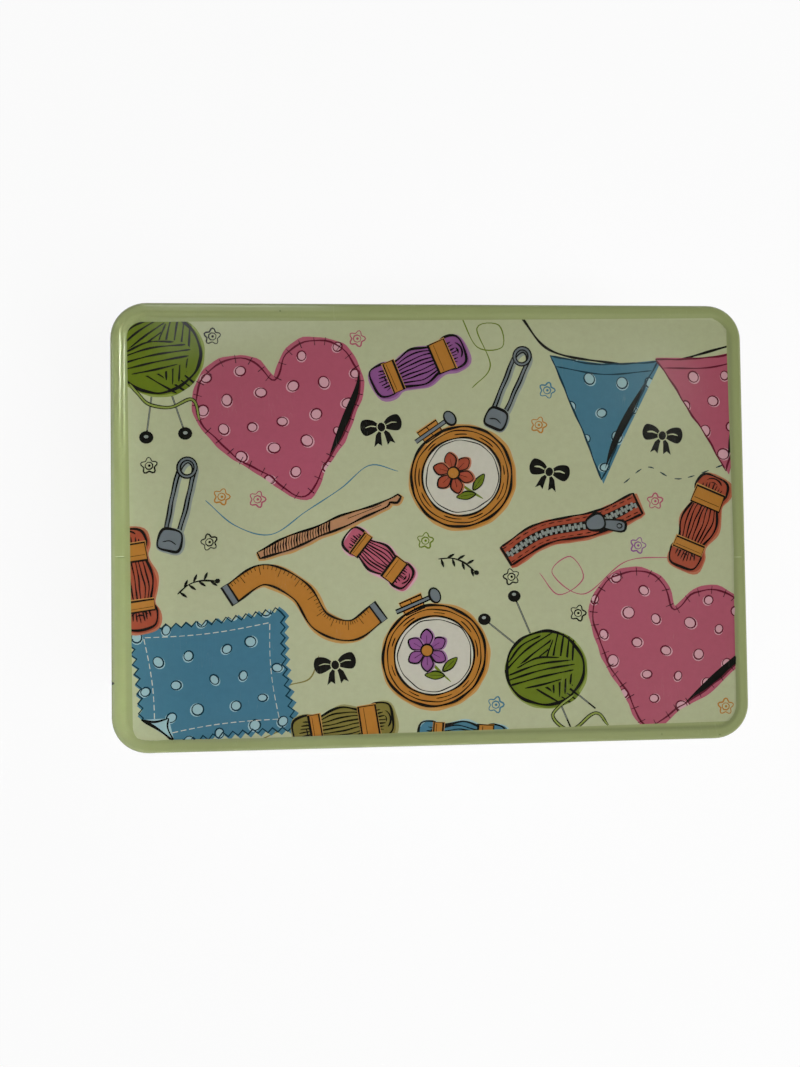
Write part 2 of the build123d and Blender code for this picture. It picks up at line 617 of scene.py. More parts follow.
@dataclass
class Pennant(DottedCloth):
    """A flag of a string of bunting, which hangs from the string by its upper hem."""

    def edge(self) -> Outline:
        """The outline of the flag, anticlockwise from its tip.

        Returns:
            The outline.
        """
        side = smooth([-22j, 5.5 - 9j, 11.5 + 4j, 17 + 16j], step=1.6)
        top = smooth([17 + 16j, 0 + 14.2j, -17 + 16j], step=1.6)
        return side[:-1] + top[:-1] + mirrored(reversed(side[1:]))

    def draw(self, art: Artwork) -> None:
        """Prints the flag, with a dark fold near its right side.

        Args:
            art: the print.
        """
        outline = self.edge()
        cloth = art.area(self.put([p * 1.045 + 0.6 - 0.3j for p in outline]), self.ink)
        self.dots(art, cloth, 26)
        art.contour(self.put(outline), 0.18, 0.55, self.deep)
        hem = smooth([15.2 + 16j, 0 + 14.2j, -15.2 + 16j], step=1.6)
        art.line(self.put([p - 3.1j for p in hem]), 0.45, self.deep)
        strip = self.curve([13.6 + 10j, 8.4 - 3j, 4 - 12j, 1 - 18.6j], step=1.6)
        dark = self.curve([13.6 + 10j, 6.6 - 1.6j, 2.6 - 11j, 1 - 18.6j], step=1.6)
        art.area(strip + dark[::-1], Ink.LINE, cloth)


@dataclass
class Hoop(Motif):
    """A round wooden embroidery hoop, with a flower worked on its cloth.

    Args:
        petals: the colour of the flower.
        pale: the paler colour of its petals' rims.
    """

    petals: Ink = Ink.RUST
    pale: Ink = Ink.RUST_PALE

    def draw(self, art: Artwork) -> None:
        """Prints the hoop.

        Args:
            art: the print.
        """
        wood = self.disc(0, 16.2, 15.6)
        art.wash(wood, Ink.OCHRE, Ink.OCHRE_PALE, 1.1 * self.size, 0.4 - 0.3j)
        self.screw(art)
        for wide, pen in ((16.2, 0.75), (14.9, 0.35), (12.6, 0.7)):
            art.contour(self.disc(0, wide, wide * 0.965), 0.12, pen)
        art.area(self.disc(0, 12.3, 11.9), Ink.PAPER)
        art.contour(self.disc(0.2, 11.6, 11.2), 0.2, 0.3)
        for start in range(8, 360, 40):
            begun, sweep = start + art.hand.uniform(-6, 6), art.hand.uniform(12, 26)
            art.line(self.put(oval(0, 13.7, 13.3, begun, sweep)), 0.32)
        self.flower(art)

    def screw(self, art: Artwork) -> None:
        """Draws the hoop's screw, with the two lugs that it pulls together.

        Args:
            art: the print.
        """
        lugs = self.put([-3.2 + 15j, 3.2 + 15j, 3.6 + 19.2j, -3.6 + 19.2j])
        art.wash(lugs, Ink.OCHRE, Ink.OCHRE_PALE, 0.6)
        art.line(lugs, 0.6, Ink.LINE, True)
        art.line(self.put([0.1 + 15.4j, -0.1 + 19.1j]), 0.7)
        shank = self.put([-5.6 + 16.6j, 6.4 + 16.6j, 6.4 + 17.8j, -5.6 + 17.8j])
        art.inked(shank, Ink.STEEL, 0.45)
        art.inked(self.disc(7.6 + 17.2j, 1.7, 2.4), Ink.STEEL, 0.6)

    def flower(self, art: Artwork) -> None:
        """Draws the worked flower, with a stem of back stitches and two leaves.

        Args:
            art: the print.
        """
        art.line(self.curve([-1.5 - 2j, -0.5 - 5j, 1.5 - 9.6j], step=0.8), 0.7, Ink.LEAF)
        for root, way in ((0.5 - 5.6j, 20), (0.5 - 7j, 155)):
            art.inked(self.curve(leaf(root, way, 24, 3.2, 6.2), True, 0.8), Ink.LEAF, 0.4)
            art.line(self.put([root, root + ray(way, 4.8)]), 0.3)
        heart = -1.5 + 2.4j
        for way in range(8, 360, 60):
            root = heart + ray(way, 1.2)
            petal = self.curve(leaf(root, way, -32, 3.6, 5.4), True, 0.8)
            art.area([p + 0.35 for p in grown(petal, 0.35)], self.pale)
            art.inked(petal, self.petals, 0.45)
            art.line(self.put([root + ray(way, 0.6), root + ray(way, 3.4)]), 0.3)
        art.inked(self.disc(heart, 1.9, 1.9), Ink.OCHRE, 0.5)


@dataclass
class Skein(Motif):
    """A skein of floss, held by two paper bands.

    Args:
        ink: its colour.
        pale: the paler colour at its rim.
    """

    ink: Ink = Ink.PURPLE
    pale: Ink = Ink.PURPLE_PALE

    def draw(self, art: Artwork) -> None:
        """Prints the skein.

        Args:
            art: the print.
        """
        half = [-15.5 + 0j, -14.6 - 4.3j, -10.5 - 5.2j, -7 - 4j, 0 - 5.9j]
        half += [7 - 4.1j, 11 - 5.3j, 14.8 - 4.2j, 15.7 + 0j]
        outline = self.curve(half + [p.conjugate() for p in reversed(half[1:-1])], True)
        body = art.wash(outline, self.ink, self.pale, 1.0 * self.size, 0.5 - 0.4j)
        art.contour(outline, 0.15, 0.7)
        for k in range(-3, 4):
            rise = k * 1.28
            strand = [
                complex(-13.6 + abs(k) * 0.5, rise * 0.85),
                complex(-8.2, rise * 0.72),
                complex(art.hand.uniform(-2, 2), rise * 1.12),
                complex(8.2, rise * 0.72),
                complex(13.8 - abs(k) * 0.5, rise * 0.85),
            ]
            art.line(art.unsteady(self.curve(strand), 0.14), 0.42, within=body)
        for end, (start, wide) in product((-1, 1), ((-58, 2.6), (-40, 1.3))):
            arc = oval(end * 12.4, wide, wide * 1.15, start, -2 * start)
            curl = self.put([complex(end * abs(p.real), p.imag) for p in arc])
            art.line(curl, 0.5, within=body)
        self.band(art, -8.4, 3.3)
        self.band(art, 8.2, 5.4)

    def band(self, art: Artwork, along: float, wide: float) -> None:
        """Draws a paper band at a place along the skein.

        Args:
            art: the print.
            along: how far right of the skein's middle it lies.
            wide: its width.
        """
        right = [complex(wide / 2, -4.9), complex(wide / 2, 4.9)]
        paper = self.put(along + p for p in [-right[1], *right, -right[0]])
        art.wash(paper, Ink.OCHRE, Ink.OCHRE_PALE, 0.45 * self.size, 0.2j)
        art.contour(paper, 0.08, 0.65)
        art.line(self.put(along - wide / 5 + p for p in (-4.4j, 4.4j)), 0.4)


@dataclass
class YarnBall(Motif):
    """A ball of knitting yarn with its loose end, and needles through it.

    Args:
        needles: the directions of its needles.
        tail: the loose end's knots, from the ball outwards.
    """

    needles: tuple[float, ...] = (-98, -72)
    tail: tuple[complex, ...] = (-8 - 9j, -3 - 15j, 4 - 16j, 10 - 14j, 12 - 20j)
    wraps = ((-32, 1.5 - 5.5j), (38, -4.5 + 3.5j), (84, 5.5 + 2j), (12, -1.5 - 1.5j))

    def draw(self, art: Artwork) -> None:
        """Prints the ball.

        Args:
            art: the print.
        """
        for way in self.needles:
            self.needle(art, way)
        outline = self.disc(0, 12.6, 11.8)
        ball = art.wash(outline, Ink.LEAF, Ink.LEAF_PALE, 0.9 * self.size, 0.5 - 0.5j)
        for lean, shift in self.wraps:
            self.winding(art, lean, shift, ball)
        art.contour(outline, 0.15, 0.85)
        loose = art.unsteady(smooth(self.put(self.tail)), 0.12)
        art.line(loose, 1.15, swell=0.08)
        art.line(loose, 0.55, Ink.LEAF_PALE, swell=0.08)

    def needle(self, art: Artwork, way: float) -> None:
        """Draws a needle that comes out of both sides of the ball.

        Args:
            art: the print.
            way: the direction in which its head points.
        """
        art.line(self.put([ray(way + 180, 21), ray(way, 24)]), 1.25, swell=0.05)
        shine = self.put([ray(way + 180, 18), ray(way, 23)])
        art.line(shine, 0.45, Ink.STEEL_PALE, swell=0.05)
        art.area(self.disc(ray(way, 25.2), 2.1, 1.9), Ink.LINE)
        art.area(self.disc(ray(way, 25.4) + 0.4j, 0.7, 0.5), Ink.STEEL_PALE)

    def winding(self, art: Artwork, lean: float, shift: complex, ball: int) -> None:
        """Draws a wrap of strands that lie side by side over the ones before.

        Args:
            art: the print.
            lean: the direction of its strands.
            shift: its middle on the ball.
            ball: the number of the ball's patch.
        """
        art.area(self.put(shift + ray(lean) * p for p in oval(0, 11.5, 4.9)), Ink.LEAF, ball)
        for k in range(-2, 3):
            rise = 2.15 * k + art.hand.uniform(-0.2, 0.2)
            half = 11.5 * math.sqrt(1 - (rise / 5.3) ** 2)
            strand = [complex(-half, rise * 0.8), complex(0, rise + 0.7), complex(half, rise * 0.8)]
            art.line(self.put(shift + ray(lean) * p for p in smooth(strand)), 0.55, within=ball)


@dataclass
class SafetyPin(Motif):
    """A closed safety pin."""

    def draw(self, art: Artwork) -> None:
        """Prints the pin.

        Args:
            art: the print.
        """
        back = [-11.5 + 2.1j, -4 + 2.5j, 6 + 2.6j, 11.4 + 2.4j, 14.2 + 0.4j]
        point = [12.4 - 2j, 6 - 2.3j, -4 - 2.1j, -11.5 - 1.7j]
        wire = art.unsteady(self.curve(back + point), 0.1)
        art.line([p + 0.5 - 0.5j for p in wire], 1.9, Ink.STEEL_PALE, swell=0.05)
        art.line(wire, 1.55, swell=0.08)
        art.line(wire, 0.6, Ink.STEEL, swell=0.08)
        coil = self.disc(12 + 0.2j, 2.9, 2.7)
        art.line(coil, 1.5, Ink.LINE, True, swell=0.08)
        art.line(coil, 0.55, Ink.STEEL, True, swell=0.08)
        cap = [-15.4 + 0.2j, -15 - 3j, -12 - 3.6j, -9 - 2.7j]
        cap += [-8.4 + 0.2j, -9 + 3.1j, -12 + 4j, -15 + 3.4j]
        outline = self.curve(cap, True, 1)
        art.wash(outline, Ink.STEEL, Ink.STEEL_PALE, 0.6 * self.size, 0.3 - 0.3j)
        art.line(outline, 0.75, Ink.LINE, True)
        art.line(self.curve([-13 - 2j, -12.2 + 0.2j, -13 + 2.4j]), 0.45)


@dataclass
class Zip(Motif):
    """A length of zip with its slider part way along."""

    knots = (-24 - 3j, -10 + 1.5j, 8 + 1j, 24 + 4j)

    def draw(self, art: Artwork) -> None:
        """Prints the zip.

        Args:
            art: the print.
        """
        middle = self.curve(self.knots, step=1.0)
        ways = headings(middle, False)
        half = 3.7 * self.size
        outline = beside(middle, ways, -half) + beside(middle, ways, half)[::-1]
        art.wash(outline, Ink.RUST, Ink.RUST_PALE, 0.8 * self.size, 0.4 - 0.4j)
        art.contour(outline, 0.1, 0.65)
        for side in (-0.72, 0.72):
            hem = beside(middle, ways, side * half)
            for k in range(0, len(hem) - 2, 3):
                art.line(hem[k : k + 3], 0.32)
        art.line(middle, 2.9 * self.size, swell=0.0)
        corner = 0.42 + 0.85j
        block = (-corner, corner.conjugate(), corner, -corner.conjugate())
        for k, (spot, way) in enumerate(list(zip(middle, ways))[1:-1], 1):
            tooth = spot + (0.36j if k % 2 else -0.36j) * self.size * way
            art.area([tooth + self.size * way * b for b in block], Ink.STEEL_PALE)
        there = len(middle) * 2 // 3
        self.slider(art, middle[there], ways[there])

    def slider(self, art: Artwork, spot: complex, way: complex) -> None:
        """Draws the slider and its pull, at a spot and along the zip's way there.

        Args:
            art: the print.
            spot: where it sits.
            way: the zip's direction there, as a number of length 1.
        """
        along, aslant = self.size * way, self.size * way * ray(-24)
        pull = smooth([1.6 - 1.1j, 9.4 - 1.9j, 10.8 + 0j, 9.4 + 1.9j, 1.6 + 1.1j], True, 1.0)
        art.inked([spot + aslant * p for p in pull], Ink.STEEL, 0.7)
        art.line([spot + aslant * p for p in oval(8.6, 0.9, 0.8)], 0.4, Ink.LINE, True)
        body = [-2.6 - 1.5j, 1.2 - 2.9j, 3.3 - 1.6j, 3.3 + 1.6j, 1.2 + 2.9j, -2.6 + 1.5j]
        art.inked([spot + along * p for p in smooth(body, True, 1.0)], Ink.STEEL, 0.75)


@dataclass
class TapeMeasure(Motif):
    """A measuring tape that lies in loose curves, with plain ticks."""

    knots = (-22 - 2j, -13 + 6j, -1 + 3j, 7 - 5j, 17 - 6j, 24 + 1j)

    def draw(self, art: Artwork) -> None:
        """Prints the tape.

        Args:
            art: the print.
        """
        middle = self.curve(self.knots, step=1.2)
        ways = headings(middle, False)
        half = 3.1 * self.size
        rim = [p + 0.5 - 0.5j for p in middle]
        art.line(rim, 2 * half + 1.6, Ink.OCHRE_PALE, swell=0.03)
        right, left = beside(middle, ways, -half), beside(middle, ways, half)
        for k in range(len(middle) - 1):
            art.area([right[k], right[k + 1], left[k + 1], left[k]], Ink.OCHRE)
        for side in (right, left):
            art.line(side, 0.6)
        for k in range(1, len(middle) - 1):
            reach = half * (0.95 if k % 5 == 0 else 0.45)
            art.line([left[k], left[k] - 1j * reach * ways[k]], 0.42, swell=0.05)
        corner = 1.1 + 3.3j
        for k in (0, -1):
            clip = (-corner, corner.conjugate(), corner, -corner.conjugate())
            art.inked([middle[k] + self.size * ways[k] * c for c in clip], Ink.STEEL, 0.6)


@dataclass
class CrochetHook(Motif):
    """A wooden crochet hook with a hatched, bound handle."""

    def draw(self, art: Artwork) -> None:
        """Prints the hook.

        Args:
            art: the print.
        """
        back = [-24 + 1.1j, -14 + 2.1j, -4 + 1.6j, 4 + 1.9j, 14 + 1.1j, 21 + 1j, 24.2 + 1.3j]
        throat = [24.8 + 0.2j, 23 - 1.1j, 20.8 - 0.1j, 19.6 - 1j]
        belly = [12 - 1.3j, 4 - 1.9j, -4 - 1.6j, -14 - 2.1j, -24 - 1j]
        outline = self.put([*reversed(smooth(back)), *reversed(smooth(throat + belly))])
        wood = art.wash(outline, Ink.TAN, Ink.OCHRE_PALE, 0.7 * self.size, 0.3 - 0.4j)
        art.contour(outline, 0.08, 0.65)
        for k in range(25):
            foot = -22.6 + 0.92 * k
            slant = self.put(foot + p for p in (-1.9j, 0.5 + 0.1j, 1.5 + 1.9j))
            art.line(slant, 0.4 if k % 4 else 0.62, within=wood)
        art.line(self.put([6.5 + 0.2j, 18 + 0.1j]), 0.35)


@dataclass
class Bow(Motif):
    """A small black ribbon bow."""

    def draw(self, art: Artwork) -> None:
        """Prints the bow.

        Args:
            art: the print.
        """
        for side in (-1, 1):
            loop = [0.5 + 0.2j, 2.4 + 2.6j, 5.6 + 3.1j, 6.6 + 0.4j, 5.4 - 1.9j, 2.4 - 1.3j]
            art.area(self.curve(mirrored(loop, side), True, 0.9), Ink.LINE)
            slit = self.curve(mirrored([1.6 + 0.4j, 3.4 + 0.9j, 5 + 0.6j], side), step=0.9)
            art.line(slit, 0.42, Ink.GROUND)
            tail = [0.1 - 0.2j, 2.2 - 2.2j, 3.4 - 5.8j, 2 - 4.9j, 0.9 - 5.9j, 0.6 - 2.8j]
            art.area(self.put(mirrored(tail, side)), Ink.LINE)
        knot = self.disc(0, 1.25, 1.45)
        art.area(grown(knot, 0.3), Ink.GROUND)
        art.area(knot, Ink.LINE)


@dataclass
class Blossom(Motif):
    """A small five-petalled flower drawn in a thin line of one colour.

    Args:
        ink: its ink.
    """

    ink: Ink = Ink.LINE

    def draw(self, art: Artwork) -> None:
        """Prints the flower.

        Args:
            art: the print.
        """
        turns = range(0, 360, 12)
        ring = [ray(turn, 2.05 + 0.45 * math.cos(math.radians(5 * turn))) for turn in turns]
        art.line(self.put(ring), 0.42, self.ink, True)
        art.line(self.disc(0, 1.15, 1.1), 0.38, self.ink, True)
        art.area(self.disc(0.1, 0.42, 0.42), self.ink)


@dataclass
class Sprig(Motif):
    """A sprig with a curved stem and small black leaves."""

    def draw(self, art: Artwork) -> None:
        """Prints the sprig.

        Args:
            art: the print.
        """
        stem = smooth([-6 - 1.4j, -2 + 0.5j, 2 + 0.7j, 6.4 - 0.6j], step=1.0)
        art.line(self.put(stem), 0.5)
        for k, root in enumerate(stem[1:-1:2]):
            way = 52 if k % 2 else -50
            art.area(self.curve(leaf(root, way, 18, 1.5, 2.9), True, 0.8), Ink.LINE)
        art.area(self.disc(6.8 - 0.7j, 0.9, 0.8), Ink.LINE)


@dataclass(frozen=True)
class Thread:
    """A loose thread, or a row of stitches, drawn as a thin line.

    Args:
        knots: points that it passes on the print.
        ink: its colour.
        width: its width.
        stitches: whether it is drawn as a row of dashes.
    """

    knots: tuple[complex, ...]
    ink: Ink
    width: float = 0.34
    stitches: bool = False

    def draw(self, art: Artwork) -> None:
        """Prints the thread.

        Args:
            art: the print.
        """
        path = smooth(self.knots, step=1.2)
        if not self.stitches:
            art.line(path, self.width, self.ink, swell=0.2)
            return
        for k in range(0, len(path) - 2, 4):
            art.line(path[k : k + 3], self.width, self.ink, swell=0.1)


def threads() -> list[Thread]:
    """The loose threads and stitches that lie behind everything, and the bunting's string.

    Returns:
        The threads, from the back to the front.
    """
    long = (-72 + 9j, -63 + 1j, -52 - 2j, -41 + 5j, -30 + 12j, -21 + 19j, -12 + 17j)
    looped = (32 - 16j, 38 - 23j, 46 - 18j, 42 - 11j, 36 - 16j, 46 - 23j, 60 - 13j, 76 - 12j)
    curled = (9 + 66j, 14 + 56j, 22 + 56j, 21 + 63j, 14 + 62j, 18 + 50j, 12 + 43j)
    return [
        Thread(long, Ink.BLUE),
        Thread(looped, Ink.PINK),
        Thread(curled, Ink.LEAF, 0.36),
        Thread((60 + 12j, 68 + 17j, 78 + 13j, 95 + 18j), Ink.BLUE_DEEP, 0.5, True),
        Thread((-58 - 66j, -47 - 60j, -49 - 50j, -41 - 47j, -38 - 40j), Ink.OLIVE, 0.42),
        Thread((28 + 66j, 37 + 55j, 54 + 51j, 72 + 50j, 97 + 56j), Ink.LINE, 0.75),
    ]


def motifs() -> list[Motif | Thread]:
    """Lays out the print, from the back to the front.

    Returns:
        The threads and motifs.
    """
    blue_cloth = {"ink": Ink.BLUE, "pale": Ink.BLUE_PALE, "deep": Ink.BLUE_DEEP}
    rust = (Ink.RUST, Ink.RUST_PALE)
    other_tail = (9 - 9j, 2 - 15j, 8 - 20j, 16 - 15j, 20 - 19j)
    bows = ((-17 + 31j, 10), (36 + 16j, -14), (-33 - 43j, 8), (73 + 27j, -8))
    blossoms = (
        (-24 + 59j, 0, Ink.PINK),
        (-4 - 5j, 10, Ink.LEAF),
        (-89 + 20j, 20, Ink.LINE),
        (-67 + 10j, 0, Ink.OCHRE),
        (36 + 42j, 0, Ink.BLUE),
        (-56 + 9j, 0, Ink.PINK),
        (23 - 17j, 30, Ink.LINE),
        (-71 - 4j, 30, Ink.LINE),
        (64 - 8j, 0, Ink.PURPLE),
        (33 + 31j, 0, Ink.OCHRE),
        (44 - 29j, 0, Ink.LINE),
        (17 - 57j, 0, Ink.BLUE),
        (91 - 60j, 15, Ink.OCHRE),
        (70 + 6j, 15, Ink.PINK),
        (-69 + 60j, 15, Ink.LINE),
    )
    return [
        *threads(),
        Pennant(54 + 35.6j, -3, 1.02, **blue_cloth),
        Pennant(91 + 37.6j, 7, 1.02),
        Heart(-47 + 34j, 13),
        Swatch(-71 - 46j, 9, wide=46, high=37, **blue_cloth),
        Heart(72 - 41j, -15),
        YarnBall(-86 + 55j, 0, 1.05),
        Skein(-5 + 50j, 22),
        Hoop(8 + 15j, 34),
        TapeMeasure(-43 - 23j, -12),
        SafetyPin(-80 + 8j, 76, 0.96),
        Skein(-19 - 10j, -38, 0.78, Ink.PINK, Ink.PINK_PALE),
        Hoop(-2 - 41j, 22, 1.0, Ink.PURPLE, Ink.PURPLE_PALE),
        Skein(84 - 1j, 66, 1.0, *rust),
        YarnBall(33 - 46j, 0, 0.98, (112, 140), other_tail),
        Zip(43 - 3j, 12, 0.94),
        CrochetHook(-34 + 0j, 21, 0.98),
        Skein(-31 - 62j, 8, 1.0, Ink.OLIVE, Ink.OLIVE_PALE),
        SafetyPin(24 + 43j, 66, 0.9),
        Skein(-94 - 15j, 98, 1.0, *rust),
        Skein(6 - 67j, -5, 0.9, Ink.BLUE, Ink.BLUE_PALE),
        *(Bow(at, turn) for at, turn in bows),
        Sprig(-75.5 - 17j, 14),
        Sprig(6 - 12j, -24),
        *(Blossom(at, turn, 1.05, ink) for at, turn, ink in blossoms),
    ]


def printed() -> Artwork:
    """Draws the whole print.

    Returns:
        The print.
    """
    art = Artwork(seed=11)
    for motif in motifs():
        motif.draw(art)
    return art


# ---------------------------------------------------------------------------------------------
# Node trees
# ---------------------------------------------------------------------------------------------


class Bench:
    """Sets out and wires the nodes of one tree.

    Args:
        tree: the tree.
    """

    def __init__(self, tree: bpy.types.NodeTree) -> None:
        """Takes up the tree."""
        self.tree = tree

    def node(self, kind: str, *fed: object, **settings: object) -> bpy.types.Node:
        """Adds a node.

        Args:
            kind: its type, without ShaderNode in front.
            fed: values or sockets for its first inputs. None leaves one as it is.
            settings: its properties.

        Returns:
            The node.
        """
        made = self.tree.nodes.new("ShaderNode" + kind)
        for name, value in settings.items():
            setattr(made, name, value)
        for socket, value in zip(made.inputs, fed):
            self.feed(socket, value)
        return made

    def feed(self, socket: Socket, value: object) -> None:
        """Wires a socket to another, or sets its value.

        Args:
            socket: the socket.
            value: another socket or a value. None leaves the socket as it is.
        """
        if isinstance(value, bpy.types.NodeSocket):
            self.tree.links.new(value, socket)
        elif value is not None:
            socket.default_value = value

    def place(self) -> Socket:
        """The place on the piece."""
        return self.node("TexCoord").outputs["Object"]

    def facing(self) -> Socket:
        """The direction in which the surface's own face looks."""
        return self.node("NewGeometry").outputs["True Normal"]

    def upright(self, vector: Socket) -> Socket:
        """The upright part of a vector."""
        return self.node("SeparateXYZ", vector).outputs[2]

    def math(self, operation: str, *values: object) -> Socket:
        """The result of a sum on numbers."""
        return self.node("Math", *values, operation=operation).outputs[0]

    def times(self, first: object, second: object, plus: object = None) -> Socket:
        """The product of two numbers, with a third added where one is given.

        Args:
            first: a number.
            second: a number.
            plus: the third, or None.

        Returns:
            The result.
        """
        if plus is None:
            return self.math("MULTIPLY", first, second)
        return self.math("MULTIPLY_ADD", first, second, plus)

    def vector(self, operation: str, *values: object) -> Socket:
        """The result of a sum on vectors, which is a number for a length or a product."""
        node = self.node("VectorMath", *values, operation=operation)
        return node.outputs[1 if operation in ("LENGTH", "DOT_PRODUCT") else 0]

    def mix(self, share: object, first: object, second: object, blend: str = "MIX") -> Socket:
        """A colour mixed of two.

        Args:
            share: how much of the second colour there is.
            first: a colour.
            second: a colour.
            blend: how they are mixed.

        Returns:
            The mixed colour.
        """
        node = self.node("Mix", data_type="RGBA", blend_type=blend)
        fed = {"Factor_Float": share, "A_Color": first, "B_Color": second}
        for socket in node.inputs:
            self.feed(socket, fed.get(socket.identifier))
        return next(s for s in node.outputs if s.identifier == "Result_Color")

    def span(
        self, value: object, low: float, high: float, start: float = 0.0, end: float = 1.0
    ) -> Socket:
        """A value's place between low and high, as a number from start to end."""
        return self.node("MapRange", value, low, high, start, end, clamp=True).outputs[0]

    def noise(
        self, place: object, scale: object, detail: float = 2.0, roughness: float = 0.5
    ) -> Socket:
        """Noise from 0 to 1 at a place.

        Args:
            place: the place.
            scale: how fine the noise is.
            detail: how many finer layers it has.
            roughness: how strong those layers are.

        Returns:
            The noise.
        """
        made = self.node("TexNoise")
        fed = {"Vector": place, "Scale": scale, "Detail": detail, "Roughness": roughness}
        for name, value in fed.items():
            self.feed(made.inputs[name], value)
        return made.outputs[0]

    def effect(self, effect: "Effect", **fed: object) -> bpy.types.NodeOutputs:
        """Places an effect, its inputs fed by their names in lower case, and gives its outputs.

        Args:
            effect: the effect.
            fed: values or sockets for its inputs.

        Returns:
            The outputs.
        """
        made = self.node("Group")
        made.node_tree = effect.group()
        for socket in made.inputs:
            self.feed(socket, fed.get(socket.name.lower()))
        return made.outputs


@dataclass(frozen=True)
class Port:
    """A named input or output of an effect.

    Args:
        name: its name.
        kind: Float or Vector.
        value: what it holds unless it is fed.
    """

    name: str
    kind: str = "Float"
    value: object = None


class Effect:
    """An effect over a surface that several finishes share, kept as one node group.

    Its title names the group, takes lists the inputs, and gives names the outputs, all numbers.
    """

    title = ""
    takes: tuple[Port, ...] = ()
    gives: tuple[str, ...] = ()

    def group(self) -> bpy.types.NodeTree:
        """The effect's node group, wired at its first use.

        Returns:
            The group.
        """
        ready = bpy.data.node_groups.get(self.title)
        if ready:
            return ready
        tree = bpy.data.node_groups.new(self.title, "ShaderNodeTree")
        for side, ports in (("INPUT", self.takes), ("OUTPUT", map(Port, self.gives))):
            for port in ports:
                kind = "NodeSocket" + port.kind
                made = tree.interface.new_socket(port.name, in_out=side, socket_type=kind)
                if port.value is not None:
                    made.default_value = port.value
        entry = tree.nodes.new("NodeGroupInput").outputs
        leave = tree.nodes.new("NodeGroupOutput").inputs
        given = {port.name: entry[port.name] for port in self.takes}
        for name, socket in zip(self.gives, self.wire(Bench(tree), given)):
            tree.links.new(socket, leave[name])
        return tree

    def wire(self, bench: Bench, given: dict[str, Socket]) -> tuple[Socket, ...]:
        """Wires the group.

        Args:
            bench: the group's bench.
            given: its inputs by name.

        Returns:
            The sockets for its outputs, in their order.
        """
        raise NotImplementedError


class PlanReach(Effect):
    """How far a point lies outside a rounded rectangle, and how much its surface faces outwards.

    Core is the half size of the rectangle of the corners' centres.
    """

    title = "Plan reach"
    takes = (Port("Core", "Vector"), Port("Corner"))
    gives = ("Distance", "Facing")

    def wire(self, bench: Bench, given: dict[str, Socket]) -> tuple[Socket, ...]:
        """Wires the group.

        Args:
            bench: the group's bench.
            given: its inputs by name.

        Returns:
            The sockets for its outputs, in their order.
        """
        place = bench.place()
        over = bench.vector("SUBTRACT", bench.vector("ABSOLUTE", place), given["Core"])
        beyond = bench.vector("MULTIPLY", bench.vector("MAXIMUM", over, (0, 0, 0)), (1, 1, 0))
        parts = bench.node("SeparateXYZ", over).outputs
        inside = bench.math("MINIMUM", bench.math("MAXIMUM", parts[0], parts[1]), 0.0)
        reach = bench.math("ADD", bench.vector("LENGTH", beyond), inside)
        signed = bench.vector("MULTIPLY", beyond, bench.vector("SIGN", place))
        outwards = bench.vector("NORMALIZE", signed)
        distance = bench.math("SUBTRACT", reach, given["Corner"])
        return distance, bench.vector("DOT_PRODUCT", outwards, bench.facing())


class OrangePeel(Effect):
    """The faint waves in stoved enamel and varnish, which break up what they mirror."""

    title = "Orange peel"
    takes = (Port("Scale", value=700.0), Port("Depth", value=1.0))
    gives = ("Height",)

    def wire(self, bench: Bench, given: dict[str, Socket]) -> tuple[Socket, ...]:
        """Wires the group.

        Args:
            bench: the group's bench.
            given: its inputs by name.

        Returns:
            The sockets for its outputs, in their order.
        """
        place = bench.place()
        fine = bench.noise(place, given["Scale"], 1.0)
        broad = bench.noise(place, bench.times(given["Scale"], 0.09), 1.0)
        return (bench.times(bench.times(broad, 2.6, fine), given["Depth"]),)


class Handling(Effect):
    """Marks of use: hairline scratches in many directions and cloudy rubbed patches."""

    title = "Handling"
    takes = (Port("Amount", value=1.0),)
    gives = ("Hairlines", "Rubbed")
    turns_and_stretches = ((0.4, 9.0), (1.7, 14.0), (2.6, 11.0))
    fineness = 900

    def wire(self, bench: Bench, given: dict[str, Socket]) -> tuple[Socket, ...]:
        """Wires the group.

        Args:
            bench: the group's bench.
            given: its inputs by name.

        Returns:
            The sockets for its outputs, in their order.
        """
        place = bench.place()
        lines = None
        for turn, stretch in self.turns_and_stretches:
            drawn = (self.fineness, self.fineness / stretch, self.fineness / stretch)
            lie = bench.node("Mapping", place, (0.03 * turn, 0, 0), (0, 0, turn), drawn).outputs[0]
            off = bench.math("SUBTRACT", bench.noise(lie, 1.0, 0.0), 0.5)
            thin = bench.span(bench.math("ABSOLUTE", off), 0.012, 0.0)
            sparse = bench.span(bench.noise(place, 34.0 + 20 * turn, 1.0), 0.6, 0.68)
            mark = bench.times(thin, sparse)
            lines = mark if lines is None else bench.math("MAXIMUM", lines, mark)
        cloud = bench.span(bench.noise(place, 46.0, 5.0, 0.62), 0.45, 0.8)
        return bench.times(lines, given["Amount"]), bench.times(cloud, given["Amount"])


class Spot(Effect):
    """A soft-edged oval mark at one place."""

    title = "Spot"
    takes = (Port("Middle", "Vector"), Port("Reach", "Vector", (1, 1, 1)))
    gives = ("Mask",)

    def wire(self, bench: Bench, given: dict[str, Socket]) -> tuple[Socket, ...]:
        """Wires the group.

        Args:
            bench: the group's bench.
            given: its inputs by name.

        Returns:
            The sockets for its outputs, in their order.
        """
        place = bench.place()
        ragged = bench.noise(place, 3000.0, 2.0)
        away = bench.vector("SUBTRACT", place, given["Middle"])
        away = bench.vector("DIVIDE", away, given["Reach"])
        return (bench.span(bench.times(ragged, 0.5, bench.vector("LENGTH", away)), 1.2, 0.9),)


# ---------------------------------------------------------------------------------------------
# Finishes
# ---------------------------------------------------------------------------------------------


